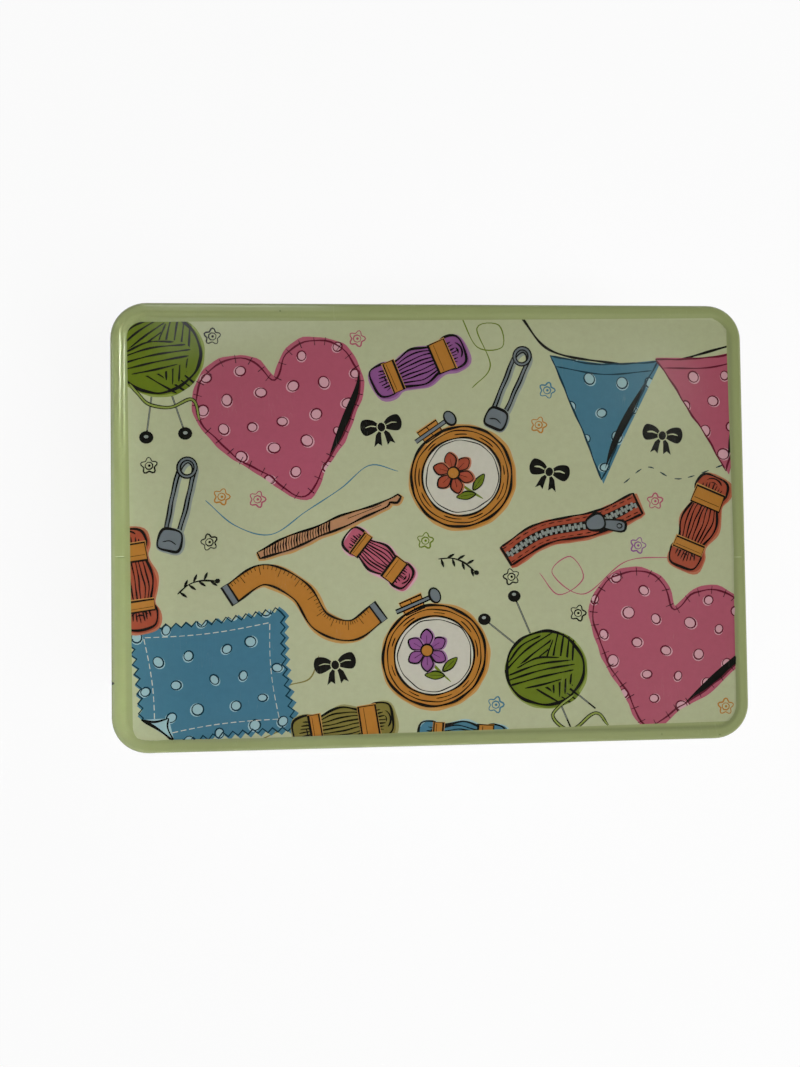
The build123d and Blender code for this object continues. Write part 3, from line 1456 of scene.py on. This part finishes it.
class Tint(Enum):
    """The plain colours of the tin, as sRGB bytes in plain light."""

    ENAMEL = (139, 148, 97)
    # Pale worn enamel, and the painted highlight along the rims' creases.
    WORN_ENAMEL_AND_CREASE_HIGHLIGHT = (176, 186, 141)
    # Painted shade in the rims' creases, and the colour of dark specks.
    DARK_SPECK_AND_CREASE_SHADE = (104, 116, 70)
    CHIP = (38, 36, 30)
    TINPLATE = (226, 225, 219)
    TINPLATE_DULL = (208, 206, 198)


@dataclass(frozen=True)
class Mark:
    """A small mark on a sheet.

    Args:
        tint: its colour.
        middle: its place.
        reach: its half sizes.
    """

    tint: Tint
    middle: tuple[float, float, float]
    reach: tuple[float, float, float]


class MaterialBench(Bench):
    """The bench of a new material.

    Args:
        name: the material's name.
    """

    relief_unit = 0.02 * MM
    peel_scale = 700.0

    def __init__(self, name: str) -> None:
        """Makes the material, with nothing in its tree."""
        self.material = bpy.data.materials.new(name)
        self.material.use_nodes = True
        self.material.node_tree.nodes.clear()
        super().__init__(self.material.node_tree)

    def end(self, shader: bpy.types.Node) -> bpy.types.Material:
        """Ends the material in a shader and gives it back."""
        self.feed(self.node("OutputMaterial").inputs[0], shader.outputs[0])
        return self.material

    def coat(
        self, colour: Socket, rough: Socket, metallic: object, relief: Socket
    ) -> bpy.types.Material:
        """Ends the material in a surface.

        Args:
            colour: its colour.
            rough: how dull it is.
            metallic: how far it is metal.
            relief: the directions that its relief turns it in.

        Returns:
            The material.
        """
        shader = self.node("BsdfPrincipled")
        fed = {"Base Color": colour, "Roughness": rough, "Metallic": metallic, "Normal": relief}
        for name, value in fed.items():
            self.feed(shader.inputs[name], value)
        return self.end(shader)

    def relief(
        self, strength: float, height: Socket, rounding: float = 0.0, samples: int = 4
    ) -> Socket:
        """Turns a height into the surface's direction.

        Args:
            strength: how much of the relief shows.
            height: its height.
            rounding: the radius that the edges under it are softened to.
            samples: how many directions that softening tries.

        Returns:
            The direction.
        """
        bump = self.node("Bump", strength, self.relief_unit, None, height)
        if rounding:
            softened = self.node("Bevel", rounding * MM, samples=samples).outputs[0]
            self.feed(bump.inputs["Normal"], softened)
        return bump.outputs[0]

    def handling(self) -> bpy.types.NodeOutputs:
        """The marks of use on this material."""
        return self.effect(Handling(), amount=1.0)

    def peel(self) -> Socket:
        """The height of this material's orange peel."""
        return self.effect(OrangePeel(), scale=self.peel_scale, depth=1.0)["Height"]


@dataclass(frozen=True)
class Tinplate:
    """Bright rolled tinplate under clear lacquer.

    Args:
        roughness: how dull its clean parts are.
        metallic: how far the metal shows through the lacquer, which scatters the rest.
        shade: how much of its dull parts shows.
        relief: how much of its relief shows.
        softening: the radius that its edges are softened to.
    """

    roughness: float = 0.36
    metallic: float = 0.72
    shade: float = 0.4
    relief: float = 0.35
    softening: float = 0.25

    def wire(self, bench: MaterialBench) -> tuple[Socket, Socket, Socket]:
        """Wires the metal on a material's bench.

        Args:
            bench: the material's bench.

        Returns:
            Its colour, its roughness and its height.
        """
        place = bench.place()
        along = bench.node("Mapping", place, None, None, (24, 2600, 2600)).outputs[0]
        rolled = bench.noise(along, 1.0, 2.0)
        spangle = bench.node("TexVoronoi", place, None, 260.0, feature="SMOOTH_F1")
        spots = bench.span(spangle.outputs["Distance"], 0.2, 0.9)
        handling = bench.handling()
        dull = bench.times(spots, 0.25, handling["Rubbed"])
        bright, grey = linear(Tint.TINPLATE.value), linear(Tint.TINPLATE_DULL.value)
        colour = bench.mix(bench.times(dull, self.shade), bright, grey)
        rough = bench.times(dull, 0.12, bench.times(rolled, 0.10, self.roughness - 0.05))
        height = bench.times(handling["Hairlines"], -0.6, bench.times(rolled, 0.35))
        return colour, rough, height

    def material(self, name: str) -> bpy.types.Material:
        """The finish as a material.

        Args:
            name: the material's name.

        Returns:
            The material.
        """
        bench = MaterialBench(name)
        colour, rough, height = self.wire(bench)
        relief = bench.relief(self.relief, height, self.softening)
        return bench.coat(colour, rough, self.metallic, relief)


@dataclass(frozen=True)
class SheetSides:
    """Tells the printed side of a bent sheet from its bare side.

    Args:
        plan: the plan of the sheet's outer face.
        curl_out: how far outside that plan the centre of its curl lies.
        curl_height: the height of that centre.
        curl_middle: the radius of the curl's middle line.
        curls_outwards: whether the edge is rolled outwards, which turns its bare side out.
        reach: how far past the curl's middle line the sheet still counts as curl.
    """

    plan: Plan
    curl_out: float
    curl_height: float
    curl_middle: float
    curls_outwards: bool
    reach: float = 0.25

    def bare(self, bench: Bench) -> Socket:
        """Wires a mask that is 1 on the bare side and 0 on the printed side.

        Args:
            bench: the material's bench.

        Returns:
            The mask.
        """
        core = (MM * self.plan.core.real, MM * self.plan.core.imag, 0)
        beside_plan = bench.effect(PlanReach(), core=core, corner=MM * self.plan.corner)
        facing = beside_plan["Facing"]
        if self.curls_outwards:
            facing = bench.times(facing, 0.5, bench.upright(bench.facing()))
        bare_face = bench.math("LESS_THAN", facing, 0.0)
        out = bench.math("SUBTRACT", beside_plan["Distance"], MM * self.curl_out)
        height = bench.upright(bench.place())
        up = bench.math("SUBTRACT", height, MM * self.curl_height)
        from_centre = bench.vector("LENGTH", bench.node("CombineXYZ", out, up).outputs[0])
        outer = MM * (self.curl_middle + self.reach)
        in_curl = bench.math("LESS_THAN", from_centre, outer)
        beyond, short = "GREATER_THAN", "LESS_THAN"
        if not self.curls_outwards:
            beyond, short = short, beyond
        bare_curl = bench.math(beyond, from_centre, MM * self.curl_middle)
        free = bench.math("MAXIMUM", bench.math(short, up, 0.0), bench.math(beyond, out, 0.0))
        on_curl = bench.times(in_curl, free)
        return bench.times(on_curl, bench.math("SUBTRACT", bare_curl, bare_face), bare_face)


@dataclass(frozen=True)
class EnamelledSheet:
    """Tinplate with glossy sage enamel on its printed side.

    Args:
        sides: what tells its sides apart.
        marks: its dents, chips and specks, and the painted highlight and painted shade along its
            creases.
        smoothing: how far its drawn flats are rounded.
        roughness: how dull the enamel is.
        relief: how much of its relief shows.
    """

    sides: SheetSides
    marks: tuple[Mark, ...] = ()
    smoothing: float = 0.0
    roughness: float = 0.17
    relief: float = 0.30

    def enamel(self, bench: MaterialBench, hairlines: Socket) -> tuple[Socket, Socket]:
        """Wires the enamel on a material's bench.

        Args:
            bench: the material's bench.
            hairlines: where it is scratched.

        Returns:
            Its colour and its height.
        """
        place = bench.place()
        peel = bench.peel()
        fresh, worn = linear(Tint.ENAMEL.value), linear(Tint.WORN_ENAMEL_AND_CREASE_HIGHLIGHT.value)
        cloud = bench.span(bench.noise(place, 60.0, 4.0, 0.6), 0.3, 0.7)
        paint = bench.mix(bench.times(cloud, 0.05), fresh, worn)
        paint = bench.mix(bench.times(hairlines, 0.16), paint, worn)
        dents = 0.0
        # Each mark tints the colour and dents the relief. The pale crease lines are a painted
        # highlight and the dark ones are painted shade.
        for mark in self.marks:
            middle, reach = (tuple(MM * x for x in axes) for axes in (mark.middle, mark.reach))
            mask = bench.effect(Spot(), middle=middle, reach=reach)["Mask"]
            paint = bench.mix(mask, paint, linear(mark.tint.value))
            dents = bench.math("ADD", dents, mask)
        return paint, bench.times(dents, -6.0, peel)

    def material(self, name: str) -> bpy.types.Material:
        """The finish as a material.

        Args:
            name: the material's name.

        Returns:
            The material.
        """
        bench = MaterialBench(name)
        handling = bench.handling()
        tinplate = Tinplate()
        metal, metal_rough, metal_height = tinplate.wire(bench)
        paint, paint_height = self.enamel(bench, handling["Hairlines"])
        bare = self.sides.bare(bench)
        gloss = bench.times(handling["Rubbed"], 0.03, self.roughness)
        rough = bench.times(bench.math("SUBTRACT", metal_rough, gloss), bare, gloss)
        height_gap = bench.math("SUBTRACT", metal_height, paint_height)
        height = bench.times(height_gap, bare, paint_height)
        relief = bench.relief(self.relief, height, self.smoothing, 6)
        colour = bench.mix(bare, paint, metal)
        return bench.coat(colour, rough, bench.times(bare, tinplate.metallic), relief)


@dataclass(frozen=True)
class Varnish:
    """Printed inks under the same gloss as the enamel.

    Args:
        attribute: the name of the mesh's colours.
        roughness: how dull the varnish is.
        relief: how much of its relief shows.
    """

    attribute: str
    roughness: float = 0.15
    relief: float = 0.30

    def material(self, name: str) -> bpy.types.Material:
        """The finish as a material.

        Args:
            name: the material's name.

        Returns:
            The material.
        """
        bench = MaterialBench(name)
        place = bench.place()
        ink = bench.node("Attribute", attribute_name=self.attribute).outputs["Color"]
        handling = bench.handling()
        uneven = bench.span(bench.noise(place, 420.0, 4.0, 0.7), 0.3, 0.7, 0.96, 1.04)
        broad = bench.span(bench.noise(place, 26.0, 2.0), 0.3, 0.7, 0.985, 1.015)
        laid = bench.mix(1.0, ink, bench.times(uneven, broad), "MULTIPLY")
        dusty = bench.times(handling["Hairlines"], 0.07, bench.times(handling["Rubbed"], 0.012))
        colour = bench.mix(dusty, laid, linear(Ink.PAPER.value))
        gloss = bench.times(handling["Rubbed"], 0.05, self.roughness)
        return bench.coat(colour, gloss, None, bench.relief(self.relief, bench.peel()))


# ---------------------------------------------------------------------------------------------
# The lid and its print
# ---------------------------------------------------------------------------------------------


def dress(node: str, material: bpy.types.Material) -> None:
    """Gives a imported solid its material.

    Args:
        node: the solid's name.
        material: the material.
    """
    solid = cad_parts[node]
    for slot in solid.material_slots:
        slot.material = material
    log.info("%s: %s", node, material.name)


def arranged(
    shapes: Sequence[Outline], lines: Sequence[Outline]
) -> tuple[Outline, list[tuple[tuple[int, ...], set[int]]]]:
    """Cuts overlapping shapes into areas that don't overlap.

    Args:
        shapes: outlines, anticlockwise.
        lines: closed lines that areas are cut along too.

    Returns:
        The points, and each area's corners with the numbers of the shapes over it.
    """
    points, faces, edges = [], [], []
    for shape in shapes:
        faces.append(list(range(len(points), len(points) + len(shape))))
        points += [Vector((p.real, p.imag)) for p in shape]
    for line in lines:
        first = len(points)
        points += [Vector((p.real, p.imag)) for p in line]
        edges += [(first + k, first + (k + 1) % len(line)) for k in range(len(line))]
    found, _, areas, _, _, covers = delaunay_2d_cdt(points, edges, faces, 0, 1e-6, True)
    spots = [complex(*point) for point in found]
    return spots, [(tuple(corners), set(over)) for corners, over in zip(areas, covers)]


def rounded(spot: complex) -> complex:
    """A point rounded off, so that it can be found again."""
    return complex(round(spot.real, 4), round(spot.imag, 4))


@dataclass
class LidPrint:
    """The film of ink and varnish on the lid's panel.

    It was printed on the flat sheet and pressed with it, so it lies a little off the panel's
    middle, and where it reaches past the level panel it climbs the foot of the step.

    Args:
        panel: the plan of the level panel.
        level: the height of its upper face.
        foot_radius: the radius in which the step leaves the panel.
        cut: the plan of the film, about its own middle.
        middle: where that lies on the panel.
        turn: how far the film is turned anticlockwise.
        thickness: how far its upper face stands above the sheet.
        lift: how far its lower face stands above the sheet.
        attribute: the name of the mesh's colours.
        corners: the corners of its mesh, gathered as it is cut.
        faces: the numbers of each face's corners.
        inks: the ink of each face.
        bends: how far past the panel the lines lie that the film bends along.
        steepest: the share of the foot's radius up to which the film climbs.
        map_margin: how much longer and wider than the film the map is.
        upper_band: where the upper face starts on the map's height, and how high it is there.
        lower_band: the same for the wall and the lower face.
    """

    panel: Plan
    level: float
    foot_radius: float
    cut: Plan = Plan(190.2, 129.4, 4.6)
    middle: complex = 0.9 - 0.3j
    turn: float = 0.6
    thickness: float = 0.030
    lift: float = 0.004
    attribute: str = "ink"
    corners: list[Vector] = field(default_factory=list)
    faces: list[tuple[int, ...]] = field(default_factory=list)
    inks: list[Ink] = field(default_factory=list)
    bends: tuple[float, ...] = (0.0, 0.22, 0.42, 0.6)
    steepest: float = 0.7
    map_margin: float = 0.4
    upper_band: tuple[float, float] = (0.05, 0.945)
    lower_band: tuple[float, float] = (0.004, 0.03)

    def placed(self, points: Iterable[complex]) -> Outline:
        """Points of the drawing, where they lie on the tin."""
        return [self.middle + ray(self.turn) * p for p in points]

    def climb(self, point: complex) -> float:
        """How far the sheet at a point stands above the level panel."""
        run = min(max(self.panel.distance(point), 0.0), self.steepest * self.foot_radius)
        return self.foot_radius - math.sqrt(self.foot_radius**2 - run**2)

    def contours(self) -> list[Outline]:
        """Lines round the panel, along which the film bends."""
        return [self.panel.inset(-out).outline(6.0) for out in self.bends]

    def add_corner(self, spot: complex, above: float) -> int:
        """Adds a corner at a height above the sheet and returns its number.

        Args:
            spot: its place in plan.
            above: how far it stands above the sheet.

        Returns:
            The number.
        """
        height = self.level + self.climb(spot) + above
        self.corners.append(Vector((spot.real, spot.imag, height)))
        return len(self.corners) - 1

    def add_face(self, corners: Iterable[int], ink: Ink = Ink.GROUND) -> None:
        """Adds a face with its ink."""
        self.faces.append(tuple(corners))
        self.inks.append(ink)

    def printed_face(self) -> None:
        """Cuts the film's upper face into areas of one ink each."""
        art = printed()
        outlines = [self.cut.outline(4.0), *(patch.outline for patch in art.patches)]
        spots, areas = arranged([self.placed(o) for o in outlines], self.contours())
        used: dict[int, int] = {}
        for corners, covers in areas:
            if 0 not in covers:
                continue
            for corner in corners:
                if corner not in used:
                    used[corner] = self.add_corner(spots[corner], self.thickness)
            self.add_face((used[corner] for corner in corners), self.ink_on_top(art, covers))

    @staticmethod
    def ink_on_top(art: Artwork, covers: set[int]) -> Ink:
        """The ink that was printed last on an area.

        Args:
            art: the drawing.
            covers: the numbers of the shapes over the area. The film is 0 and the first patch 1.

        Returns:
            The ink.
        """
        for number in sorted(covers, reverse=True)[:-1]:
            patch = art.patches[number - 1]
            if patch.within is None or patch.within + 1 in covers:
                return patch.ink
        return Ink.GROUND

    def edge(self) -> list[int]:
        """The corners round the upper face, in order and anticlockwise.

        Returns:
            Their numbers.
        """
        pairs = (zip(face, face[1:] + face[:1]) for face in self.faces)
        sides = dict.fromkeys(side for around in pairs for side in around)
        following = {start: end for start, end in sides if (end, start) not in sides}
        first = next(iter(following))
        loop = [first]
        while following[loop[-1]] != first:
            loop.append(following[loop[-1]])
        return loop

    def lower_face(self) -> None:
        """Closes the film with a wall along its edge and a plain lower face."""
        loop = self.edge()
        outline = [complex(*self.corners[i].xy) for i in loop]
        spots, areas = arranged([outline], self.contours())
        fallen = [self.add_corner(spot, self.lift) for spot in spots]
        for corners, covers in areas:
            if covers:
                self.add_face(fallen[corner] for corner in reversed(corners))
        below = {rounded(spot): number for spot, number in zip(spots, fallen)}
        low = [below[rounded(spot)] for spot in outline]
        for k in range(len(loop)):
            after = (k + 1) % len(loop)
            self.add_face((loop[k], low[k], low[after], loop[after]))

    def lay_map(self, mesh: bpy.types.Mesh, upper: int) -> None:
        """Lays the upper face flat on the map, over a band for the wall and the lower face.

        Args:
            mesh: the film's mesh.
            upper: how many faces it has on its upper side.
        """
        layer = mesh.uv_layers.new(name="OFBake")
        long, wide = self.cut.length + self.map_margin, self.cut.width + self.map_margin
        for number, polygon in enumerate(mesh.polygons):
            start, high = self.upper_band if number < upper else self.lower_band
            for corner in polygon.loop_indices:
                x, y, _ = mesh.vertices[mesh.loops[corner].vertex_index].co / MM
                flat = (complex(x, y) - self.middle) / ray(self.turn)
                across, up = flat.real / long + 0.5, flat.imag / wide + 0.5
                layer.data[corner].uv = (across, start + high * up)

    def build(self) -> None:
        """Makes the film, with its inks as a colour attribute and a map for its bake."""
        self.printed_face()
        upper = len(self.faces)
        self.lower_face()
        mesh = bpy.data.meshes.new("lid_print")
        mesh.from_pydata([corner * MM for corner in self.corners], [], self.faces)
        colours = mesh.color_attributes.new(self.attribute, "FLOAT_COLOR", "CORNER")
        shades = {ink: linear(ink.value) for ink in Ink}
        for polygon, ink in zip(mesh.polygons, self.inks):
            for corner in polygon.loop_indices:
                colours.data[corner].color = shades[ink]
        self.lay_map(mesh, upper)
        film = bpy.data.objects.new("lid_print", mesh)
        bpy.context.scene.collection.objects.link(film)
        mesh.materials.append(Varnish(self.attribute).material("printed_varnish"))
        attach(film, "lid")
        log.info("lid_print: %d faces, %d of them printed", len(self.faces), upper)


@dataclass
class Lid:
    """The lid: its pressing and the print on its panel.

    Args:
        sheet: the gauge of the sheet.
        corner: the radius of the skirt's corners in plan.
        curl: the outer radius of the curl along the skirt's edge.
        shoulder: the radius between skirt and rim.
        crest: the level width of the rim.
        step_crest: the radius in which the rim turns down to the panel.
        step_foot: the radius in which that slope meets the panel.
        step_angle: how steep the slope is.
        marks: the chip and specks on the rim, and a painted highlight and painted shade along its
            creases.
    """

    sheet: float = 0.28
    corner: float = 11.2
    curl: float = 1.1
    shoulder: float = 1.5
    crest: float = 1.2
    step_crest: float = 1.5
    step_foot: float = 1.2
    step_angle: float = 50.0
    marks: tuple[Mark, ...] = (
        # Painted highlight and painted shade: a pale and a dark line side by side along a crease in
        # the left rim.
        Mark(Tint.WORN_ENAMEL_AND_CREASE_HIGHLIGHT, (-96.6, -9.1, 69.8), (2.3, 0.16, 0.8)),
        Mark(Tint.DARK_SPECK_AND_CREASE_SHADE, (-96.5, -9.5, 69.7), (2.1, 0.14, 0.8)),
        # Painted highlight: a pale line along a crease in the right rim.
        Mark(Tint.WORN_ENAMEL_AND_CREASE_HIGHLIGHT, (97.2, -11.7, 69.8), (1.6, 0.12, 0.8)),
        Mark(Tint.CHIP, (-99.5, -47.8, 69.4), (1.05, 0.62, 1.05)),
        Mark(Tint.DARK_SPECK_AND_CREASE_SHADE, (-47.6, 66.8, 70.0), (0.35, 0.30, 0.3)),
        # Painted shade: a thin dark line along a crease across the front rim.
        Mark(Tint.DARK_SPECK_AND_CREASE_SHADE, (71.2, -67.4, 70.0), (0.14, 0.5, 0.3)),
        Mark(Tint.DARK_SPECK_AND_CREASE_SHADE, (90.0, -68.0, 69.9), (0.45, 0.22, 0.4)),
    )

    def plan(self) -> Plan:
        """The plan of the skirt's outer face, inside the curl that stands out from it.

        Returns:
            The plan.
        """
        low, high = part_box("lid")
        curls = 2 * (2 * self.curl - self.sheet)
        return Plan((high.x - low.x) / MM - curls, (high.y - low.y) / MM - curls, self.corner)

    def panel_inset(self) -> float:
        """How far inside the skirt's outer face the level panel starts."""
        lean = math.sin(math.radians(self.step_angle))
        return self.shoulder + self.crest + (self.step_crest + self.step_foot) * lean

    def panel_level(self) -> float:
        """The height of the panel's upper face."""
        fall = (self.step_crest + self.step_foot) * (1 - math.cos(math.radians(self.step_angle)))
        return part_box("lid")[1].z / MM - fall

    def build(self) -> None:
        """Dresses the pressing and lays the print on it."""
        skirt_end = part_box("lid")[0].z / MM
        sides = SheetSides(
            plan=self.plan(),
            curl_out=self.curl - self.sheet,
            curl_height=skirt_end + self.curl,
            curl_middle=self.curl - self.sheet / 2,
            curls_outwards=True,
        )
        dress("lid", EnamelledSheet(sides, self.marks).material("lid_enamel"))
        LidPrint(self.plan().inset(self.panel_inset()), self.panel_level(), self.step_foot).build()


@dataclass
class TinBody:
    """The body of the tin: its wall and its base.

    Args:
        sheet: the gauge of the sheet.
        corner: the radius of the wall's corners in plan.
        curl: the outer radius of the curl along the wall's top edge.
        wall_long: the length of the wall's outer face in plan.
        wall_wide: its width.
        smoothing: how far the flats of its curl are rounded.
    """

    sheet: float = 0.28
    corner: float = 10.57
    curl: float = 1.25
    wall_long: float = 198.74
    wall_wide: float = 137.74
    smoothing: float = 0.5

    def build(self) -> None:
        """Dresses the wall and the base."""
        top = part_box("wall")[1].z / MM
        sides = SheetSides(
            plan=Plan(self.wall_long, self.wall_wide, self.corner),
            curl_out=-self.curl,
            curl_height=top - self.curl,
            curl_middle=self.curl - self.sheet / 2,
            curls_outwards=False,
        )
        dress("wall", EnamelledSheet(sides, smoothing=self.smoothing).material("wall_enamel"))
        dress("base", Tinplate().material("base_tinplate"))


# ---------------------------------------------------------------------------------------------
# The studio
# ---------------------------------------------------------------------------------------------


class Shows(Enum):
    """Where a lamp is at work: in the colours of a surface, or in what it mirrors."""

    IN_COLOURS = (True, False)
    IN_GLOSS = (False, True)


@dataclass(frozen=True)
class Lamp:
    """A soft lamp with a flat face.

    Args:
        name: its name.
        away: its distance from what it is aimed at.
        round_from: the direction that it stands in, anticlockwise from the right.
        height: how high it stands above the horizon.
        size: how wide and how high its face is.
        watts: its power.
        aim: what it is aimed at.
        beam: the angle that its light fans out to. A grid narrows it.
        tint: its colour.
        shows: where it is at work.
    """

    name: str
    away: float
    round_from: float
    height: float
    size: tuple[float, float]
    watts: float
    aim: tuple[float, float, float] = (0.0, 0.0, 69.0)
    beam: float = 180.0
    tint: tuple[float, float, float] = (1.0, 1.0, 1.0)
    shows: Shows = Shows.IN_COLOURS

    def light(self) -> None:
        """Puts the lamp up."""
        level = ray(self.round_from, math.cos(math.radians(self.height)))
        way = Vector((level.real, level.imag, math.sin(math.radians(self.height))))
        bpy.ops.object.light_add(type="AREA", location=(Vector(self.aim) + way * self.away) * MM)
        lamp = bpy.context.object
        lamp.name = self.name
        lamp.rotation_euler = (-way).to_track_quat("-Z", "Y").to_euler()
        lamp.data.shape = "RECTANGLE"
        lamp.data.size, lamp.data.size_y = (side * MM for side in self.size)
        lamp.data.energy = self.watts
        lamp.data.spread = math.radians(self.beam)
        lamp.data.color = self.tint
        lamp.visible_diffuse, lamp.visible_glossy = self.shows.value
        log.info("%s: %.3f W", self.name, self.watts)


@dataclass(frozen=True)
class Studio:
    """The floor, the surroundings, the lamps and the camera.

    Args:
        place: the camera's place.
        aim: what its middle looks at.
        top: the direction on the tin that is up in the picture.
        lens: its focal length for a picture of the film's height.
        film_height: the height of the film.
        nearest: from how far off the camera sees things.
        floor_side: the side of the floor.
        shown_white: how much of the floor's look is plain white to the camera and in mirrors.
        far_white: how white the room is to the camera.
        zenith: how bright the room is overhead.
        horizon: how bright it is near the horizon.
        overhead: the upright part of the direction past which the room is at its dimmest.
        low_down: the upright part of the direction below which it is at its palest.
        brighter_side: how much brighter the room gets along X, Y and Z.
        lamps: the lamps.
    """

    place: tuple[float, float, float] = (-25.48, -8.86, 319.75)
    aim: tuple[float, float, float] = (-10.97, -2.99, 69.0)
    top: tuple[float, float, float] = (0.0110, 0.9997, 0.0240)
    lens: float = 27.03
    film_height: float = 36.0
    nearest: float = 10.0
    floor_side: float = 12000.0
    shown_white: float = 0.90
    far_white: float = 0.93
    zenith: float = 0.05
    horizon: float = 0.56
    overhead: float = 0.86
    low_down: float = 0.30
    brighter_side: tuple[float, float, float] = (-0.32, -0.06, 0.0)
    lamps: tuple[Lamp, ...] = (
        Lamp("key_lamp", 1500, -33, 58, (800, 800), 15.6),
        Lamp(
            "window_pool", away=900, round_from=-150, height=55, size=(120, 120), watts=0.030,
            aim=(-30.0, -35.0, 69.0), beam=16.0, tint=(0.92, 0.88, 1.15),
        ),
        Lamp(
            "left_card", away=120, round_from=180, height=42, size=(180, 90), watts=0.013,
            aim=(-100.0, 0.0, 69.0), beam=40.0, tint=(0.95, 1.0, 1.08), shows=Shows.IN_GLOSS,
        ),
        Lamp(
            "back_card", away=120, round_from=105, height=50, size=(90, 130), watts=0.0155,
            aim=(-62.0, 69.0, 69.0), beam=60.0, tint=(0.97, 1.0, 1.05), shows=Shows.IN_GLOSS,
        ),
        Lamp(
            "left_rim_lamp", away=520, round_from=2, height=38, size=(196, 16), watts=0.0090,
            aim=(-110.0, -1.0, 69.0), beam=4.5, tint=(0.90, 1.0, 0.98),
        ),
        Lamp(
            "left_rim_strip", away=1200, round_from=28.5, height=60, size=(260, 140), watts=0.045,
            aim=(-97.0, 46.0, 70.0), beam=8.0, tint=(0.96, 1.0, 0.93), shows=Shows.IN_GLOSS,
        ),
    )

    def camera(self) -> None:
        """Puts the camera where the photograph was taken from."""
        back = (Vector(self.place) - Vector(self.aim)).normalized()
        right = Vector(self.top).cross(back).normalized()
        turned = Matrix((right, back.cross(right), back)).transposed().to_4x4()
        bpy.ops.object.camera_add()
        camera = bpy.context.object
        camera.matrix_world = Matrix.Translation(Vector(self.place) * MM) @ turned
        camera.data.lens = self.lens
        camera.data.sensor_width = self.film_height
        camera.data.clip_start = self.nearest * MM
        bpy.context.scene.camera = camera

    def floor(self) -> None:
        """Lays a pale floor that the camera sees as white, with the tin's shadow on it."""
        bpy.ops.mesh.primitive_plane_add(size=self.floor_side * MM)
        floor = bpy.context.object
        floor.name = "floor"
        bench = MaterialBench("floor_paint")
        mottle = bench.span(bench.noise(bench.place(), 9.0, 4.0), 0.3, 0.7, 0.93, 0.97)
        grey = bench.node("CombineXYZ", mottle, mottle, mottle).outputs[0]
        paint = bench.node("BsdfDiffuse", grey)
        white = bench.node("Emission", (1, 1, 1, 1), 1.0)
        shown = bench.times(self.seen(bench), self.shown_white)
        mixed = bench.node("MixShader", shown, paint.outputs[0], white.outputs[0])
        floor.data.materials.append(bench.end(mixed))

    @staticmethod
    def seen(bench: Bench) -> Socket:
        """1 for rays that show a surface: from the camera, mirrored or through glass.

        Args:
            bench: the floor's bench.

        Returns:
            The number.
        """
        path = bench.node("LightPath").outputs
        direct = bench.math("MAXIMUM", path["Is Camera Ray"], path["Is Glossy Ray"])
        return bench.math("MAXIMUM", direct, path["Is Transmission Ray"])

    def room(self) -> None:
        """Sets the room's light, palest low down and on the left, and white to the camera."""
        world = bpy.data.worlds.new("room")
        world.use_nodes = True
        world.node_tree.nodes.clear()
        bench = Bench(world.node_tree)
        way = bench.node("TexCoord").outputs["Generated"]
        height = bench.upright(way)
        ends = (self.overhead, self.low_down, self.zenith, self.horizon)
        level = bench.node("MapRange", height, *ends, interpolation_type="SMOOTHSTEP").outputs[0]
        leftwards = bench.math("ADD", bench.vector("DOT_PRODUCT", way, self.brighter_side), 1.0)
        soft = bench.node("Background", (1, 1, 1, 1), bench.times(level, leftwards))
        white = bench.node("Background", (1, 1, 1, 1), self.far_white)
        shown = bench.node("LightPath").outputs["Is Camera Ray"]
        mixed = bench.node("MixShader", shown, soft.outputs[0], white.outputs[0])
        bench.feed(bench.node("OutputWorld").inputs[0], mixed.outputs[0])
        bpy.context.scene.world = world

    def build(self) -> None:
        """Sets the whole studio up."""
        bpy.context.scene.view_settings.view_transform = "Standard"
        self.floor()
        self.room()
        for lamp in self.lamps:
            lamp.light()
        self.camera()


def main() -> None:
    """Dresses the tin and sets up the studio."""
    logging.basicConfig(level=logging.INFO, format="%(message)s")
    bpy.ops.object.select_all(action="DESELECT")
    Lid().build()
    TinBody().build()
    Studio().build()


if __name__ == "__main__":
    main()
